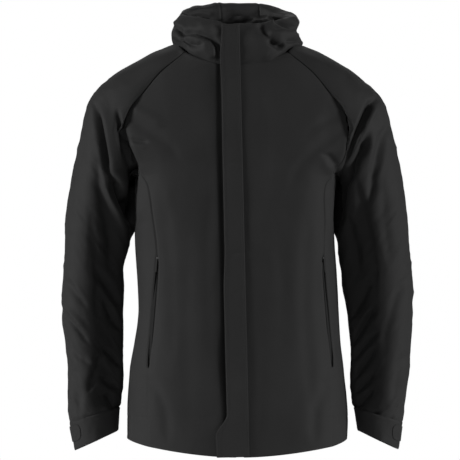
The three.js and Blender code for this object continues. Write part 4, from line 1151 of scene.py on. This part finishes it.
def cuff(side):
    """The gathered cuff with its row of stitches."""
    word = WORDS[side]
    turns = np.linspace(-np.pi, np.pi, CUFF_COLUMNS, endpoint=False)
    u = spread(CUFF_LENGTH, 2.6, (0, 0.6, 1.3, 2.2))
    at = CUFF_RING + u
    points = np.stack([ring_points(side, SLEEVE_RINGS[side], np.full(CUFF_COLUMNS, k), turns) for k in at])
    normals = facing_normals(points, (side, 0, 0), True)
    edge = np.minimum(u, 1 - u) * CUFF_LENGTH
    sink = seam_sink(edge, 0.5, 1.2) + 0.3 * bump(u * CUFF_LENGTH, CUFF_STITCH, 1.0)
    points = points + normals * (cuff_puckers(points) - sink[:, None])[..., None]
    normals = facing_normals(points, (side, 0, 0), True)
    uv = np.stack(np.broadcast_arrays(
        np.arange(CUFF_COLUMNS) * (CUFF_ROUND / CUFF_COLUMNS), (u * CUFF_LENGTH)[:, None]), -1)
    piece = cloth_piece(f"cuff_cloth_{word}", points, normals, SHELL_FACED, 2.2, True, uv)
    fit(piece, f"forearm_{word}", "shell_fabric", f"cuff_{word}")
    line = int(np.argmin(np.abs(u * CUFF_LENGTH - CUFF_STITCH)))
    loop = np.concatenate([points[line], points[line, :1]])
    loop_normals = np.concatenate([normals[line], normals[line, :1]])
    stitches(f"cuff_stitches_{word}", [(loop, loop_normals)], f"forearm_{word}")


def along_slit(side, extra=0.0):
    """Places down the pocket's slit, with extra past both ends, as its seam's x and z."""
    return front_seam(side, np.linspace(3.0 - extra, 5.5 + extra, 90))


WELT_WIDTH = 9.0
POCKET_DEPTH = 8.0          # how far the pocket's inside lies behind the front
BACKING_HALF = 13.0         # half width of the pocket cloth that closes the slit from behind


def pocket(side):
    """The slit's turned lip and the pocket cloth that shows in it."""
    word = WORDS[side]
    seam_x, seam_z = along_slit(side)
    u = np.linspace(0, 1, 6)
    from_slit = 0.1 + WELT_WIDTH * u[None] + 0 * seam_z[:, None]
    x = seam_x[:, None] - side * (slit_half(seam_z)[:, None] + from_slit)
    points = body_at(x, seam_z[:, None] + 0 * x, -1)
    points, normals = dressed(points, (0, -1, 0), seam_sink(from_slit) - mix(0.7, -0.5, u)[None], from_slit)
    welt = cloth_piece(f"pocket_welt_cloth_{word}", points, normals, (SHELL, SHELL), 0.5)
    fit(welt, "root", "shell_fabric", f"pocket_welt_{word}")
    seam_x, seam_z = along_slit(side, 0.2)
    x = seam_x[:, None] + np.linspace(-BACKING_HALF, BACKING_HALF, 10)[None]
    points = body_at(x, seam_z[:, None] + 0 * x, -1)
    points, normals = dressed(points, (0, -1, 0), POCKET_DEPTH + 0 * x, 99 + 0 * x)
    backing = cloth_piece(f"pocket_lining_{word}", points, normals, (LINING, LINING), 0.8)
    fit(backing, "root", "lining_fabric")


COIL_PITCH, WIRE_HALF = 1.5, 0.42
COIL_TOP, COIL_SPARE = 14.0, 26.0       # where the coil starts, and how much shorter it is than the front
COIL_DEPTH = 1.9            # how far the coil lies behind the line of the front
RING_SIDES = 6


def zip_teeth(name, node, side):
    """The closed coil's small loops, in place of the plain bar."""
    count = int((FRONT_LENGTH - COIL_SPARE) / COIL_PITCH)
    ring = np.linspace(0, 2 * np.pi, RING_SIDES + 1)[:-1]
    vertices, faces = [], []
    for i in range(count):
        down = COIL_TOP + i * COIL_PITCH + (COIL_PITCH / 2 if side < 0 else 0)
        base = len(vertices)
        for x, width in ((side * 0.5, 0.6), (side * 1.2, 1.0), (side * 2.8, 1.0), (side * 3.1, 0.6)):
            circle = np.stack([np.full(RING_SIDES, -ZIP_OFFSET + x), COIL_DEPTH + 1.15 * width * np.sin(ring),
                               -down + WIRE_HALF * 1.35 * width * np.cos(ring)], -1)
            vertices += list(front_frame(circle))
        faces += (base + quads(4, RING_SIDES, True)).tolist()
        faces.append([base + j for j in range(RING_SIDES - 1, -1, -1)])
        faces.append([base + 3 * RING_SIDES + j for j in range(RING_SIDES)])
    piece = new_mesh(name, vertices, faces, materials=(COIL,))
    fit(piece, "root", "zip_coil", node)


def paint_frame():
    """Finishes for the frame's own pieces that stay in view."""
    choices = {
        "zip_tape": TAPE, "pocket_zip": TAPE, "zip_slider": HARDWARE, "zip_box": HARDWARE,
        "zip_pin": HARDWARE, "pocket_slider": HARDWARE, "zip_pull": WEBBING, "pocket_pull": WEBBING,
        "hang_loop": WEBBING, "flap_hook": FUZZ, "flap_loop": FUZZ, "cuff_loop": FUZZ,
        "wind_guard": LINING, "chin_guard": LINING, "pocket_bag": LINING, "pocket_welt": SHELL,
        "cuff_tab": SHELL,
    }
    for name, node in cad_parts.items():
        material = next((value for start, value in choices.items() if name.startswith(start)), SHELL)
        node.data.materials.clear()
        node.data.materials.append(material)


paint_frame()
hood_and_collar()
inner_neck()
storm_flap()
back = back_panel()
stitches("hem_stitches_back", [height_row(*back, HEM_STITCH_Z)], "root")
for side in (RIGHT, LEFT):
    word = WORDS[side]
    front = front_panel(side)
    beside = side_panel(side, front, back)
    stitches(f"hem_stitches_{word}", [height_row(*panel, HEM_STITCH_Z) for panel in (front, beside)], "root")
    sleeve(side, [front, beside, back])
    cuff(side)
    cuff_strip(f"cuff_patch_fuzz_{word}", f"cuff_loop_patch_{word}", side, PATCH_TURNS, 0.6, 0.5,
               (FUZZ, FUZZ))
    cuff_strip(f"cuff_tab_cloth_{word}", f"cuff_tab_{word}", side, TAB_TURNS, 1.5, 0.8, (SHELL, SHELL),
               peels=True)
    pocket(side)
    zip_teeth(f"zip_teeth_{word}", f"zip_coil_{word}", side)


# ---- camera, light and floor ----
VIEW_CENTRE = (-0.0117, -0.3276)        # what the camera looks at, in metres: x and z
VIEW_AWAY, VIEW_SIZE = 12.0, 0.828
SENSOR = 36.0
LIGHT_AIM = (0, 0, -0.33)
FLOOR_HALF, FLOOR_Z = 1.2, -0.93


def stage_scene():
    scene = bpy.context.scene
    scene.view_settings.view_transform = "Standard"
    camera_data = bpy.data.cameras.new("camera")
    camera = bpy.data.objects.new("camera", camera_data)
    scene.collection.objects.link(camera)
    scene.camera = camera
    camera_data.sensor_width = SENSOR
    camera_data.lens = SENSOR * VIEW_AWAY / VIEW_SIZE
    camera_data.clip_end = 100
    camera.location = (VIEW_CENTRE[0], -VIEW_AWAY, VIEW_CENTRE[1])
    camera.rotation_euler = (math.pi / 2, 0, 0)
    world = bpy.data.worlds.new("studio")
    scene.world = world
    world.use_nodes = True
    world.node_tree.nodes.clear()
    wire = Wire(world.node_tree)
    seen = wire.node("ShaderNodeLightPath")
    strength = seen * 0.98 + 0.02
    light = wire.node("ShaderNodeBackground", {}, {"Color": (1, 1, 1, 1), "Strength": strength})
    wire.node("ShaderNodeOutputWorld", {}, {"Surface": light})
    for name, place, size, watts in (
        ("key", (-4.4, -1.25, 0.7), 1.2, 122),
        ("fill", (4.4, -1.25, 0.5), 1.2, 100),
        ("front", (-0.6, -4.4, 1.8), 1.4, 18),
        ("rear", (0.0, 3.2, 1.6), 2.4, 14),
    ):
        lamp = bpy.data.lights.new(name, "AREA")
        lamp.size = size
        lamp.energy = watts
        made = bpy.data.objects.new(name, lamp)
        scene.collection.objects.link(made)
        made.location = place
        aim = np.array(LIGHT_AIM) - np.array(place)
        made.rotation_mode = "QUATERNION"
        made.rotation_quaternion = Vector(aim).to_track_quat("-Z", "Y")
    floor_mesh = bpy.data.meshes.new("floor")
    corners = [(x * FLOOR_HALF, y * FLOOR_HALF, FLOOR_Z) for x, y in ((-1, -1), (1, -1), (1, 1), (-1, 1))]
    floor_mesh.from_pydata(corners, [], [(0, 1, 2, 3)])
    material, wire = new_material("floor_paint")
    place = wire.node("ShaderNodeTexCoord", {}, {}, out=3)
    finish_material(wire, tint(wire, noise(wire, place, 3), (0.78,) * 3, (0.84,) * 3),
                    noise(wire, place, 9) * 0.1 + 0.6, noise(wire, place, 200), {}, 0.0001, 0.1)
    floor_mesh.materials.append(material)
    floor = bpy.data.objects.new("floor", floor_mesh)
    scene.collection.objects.link(floor)


stage_scene()
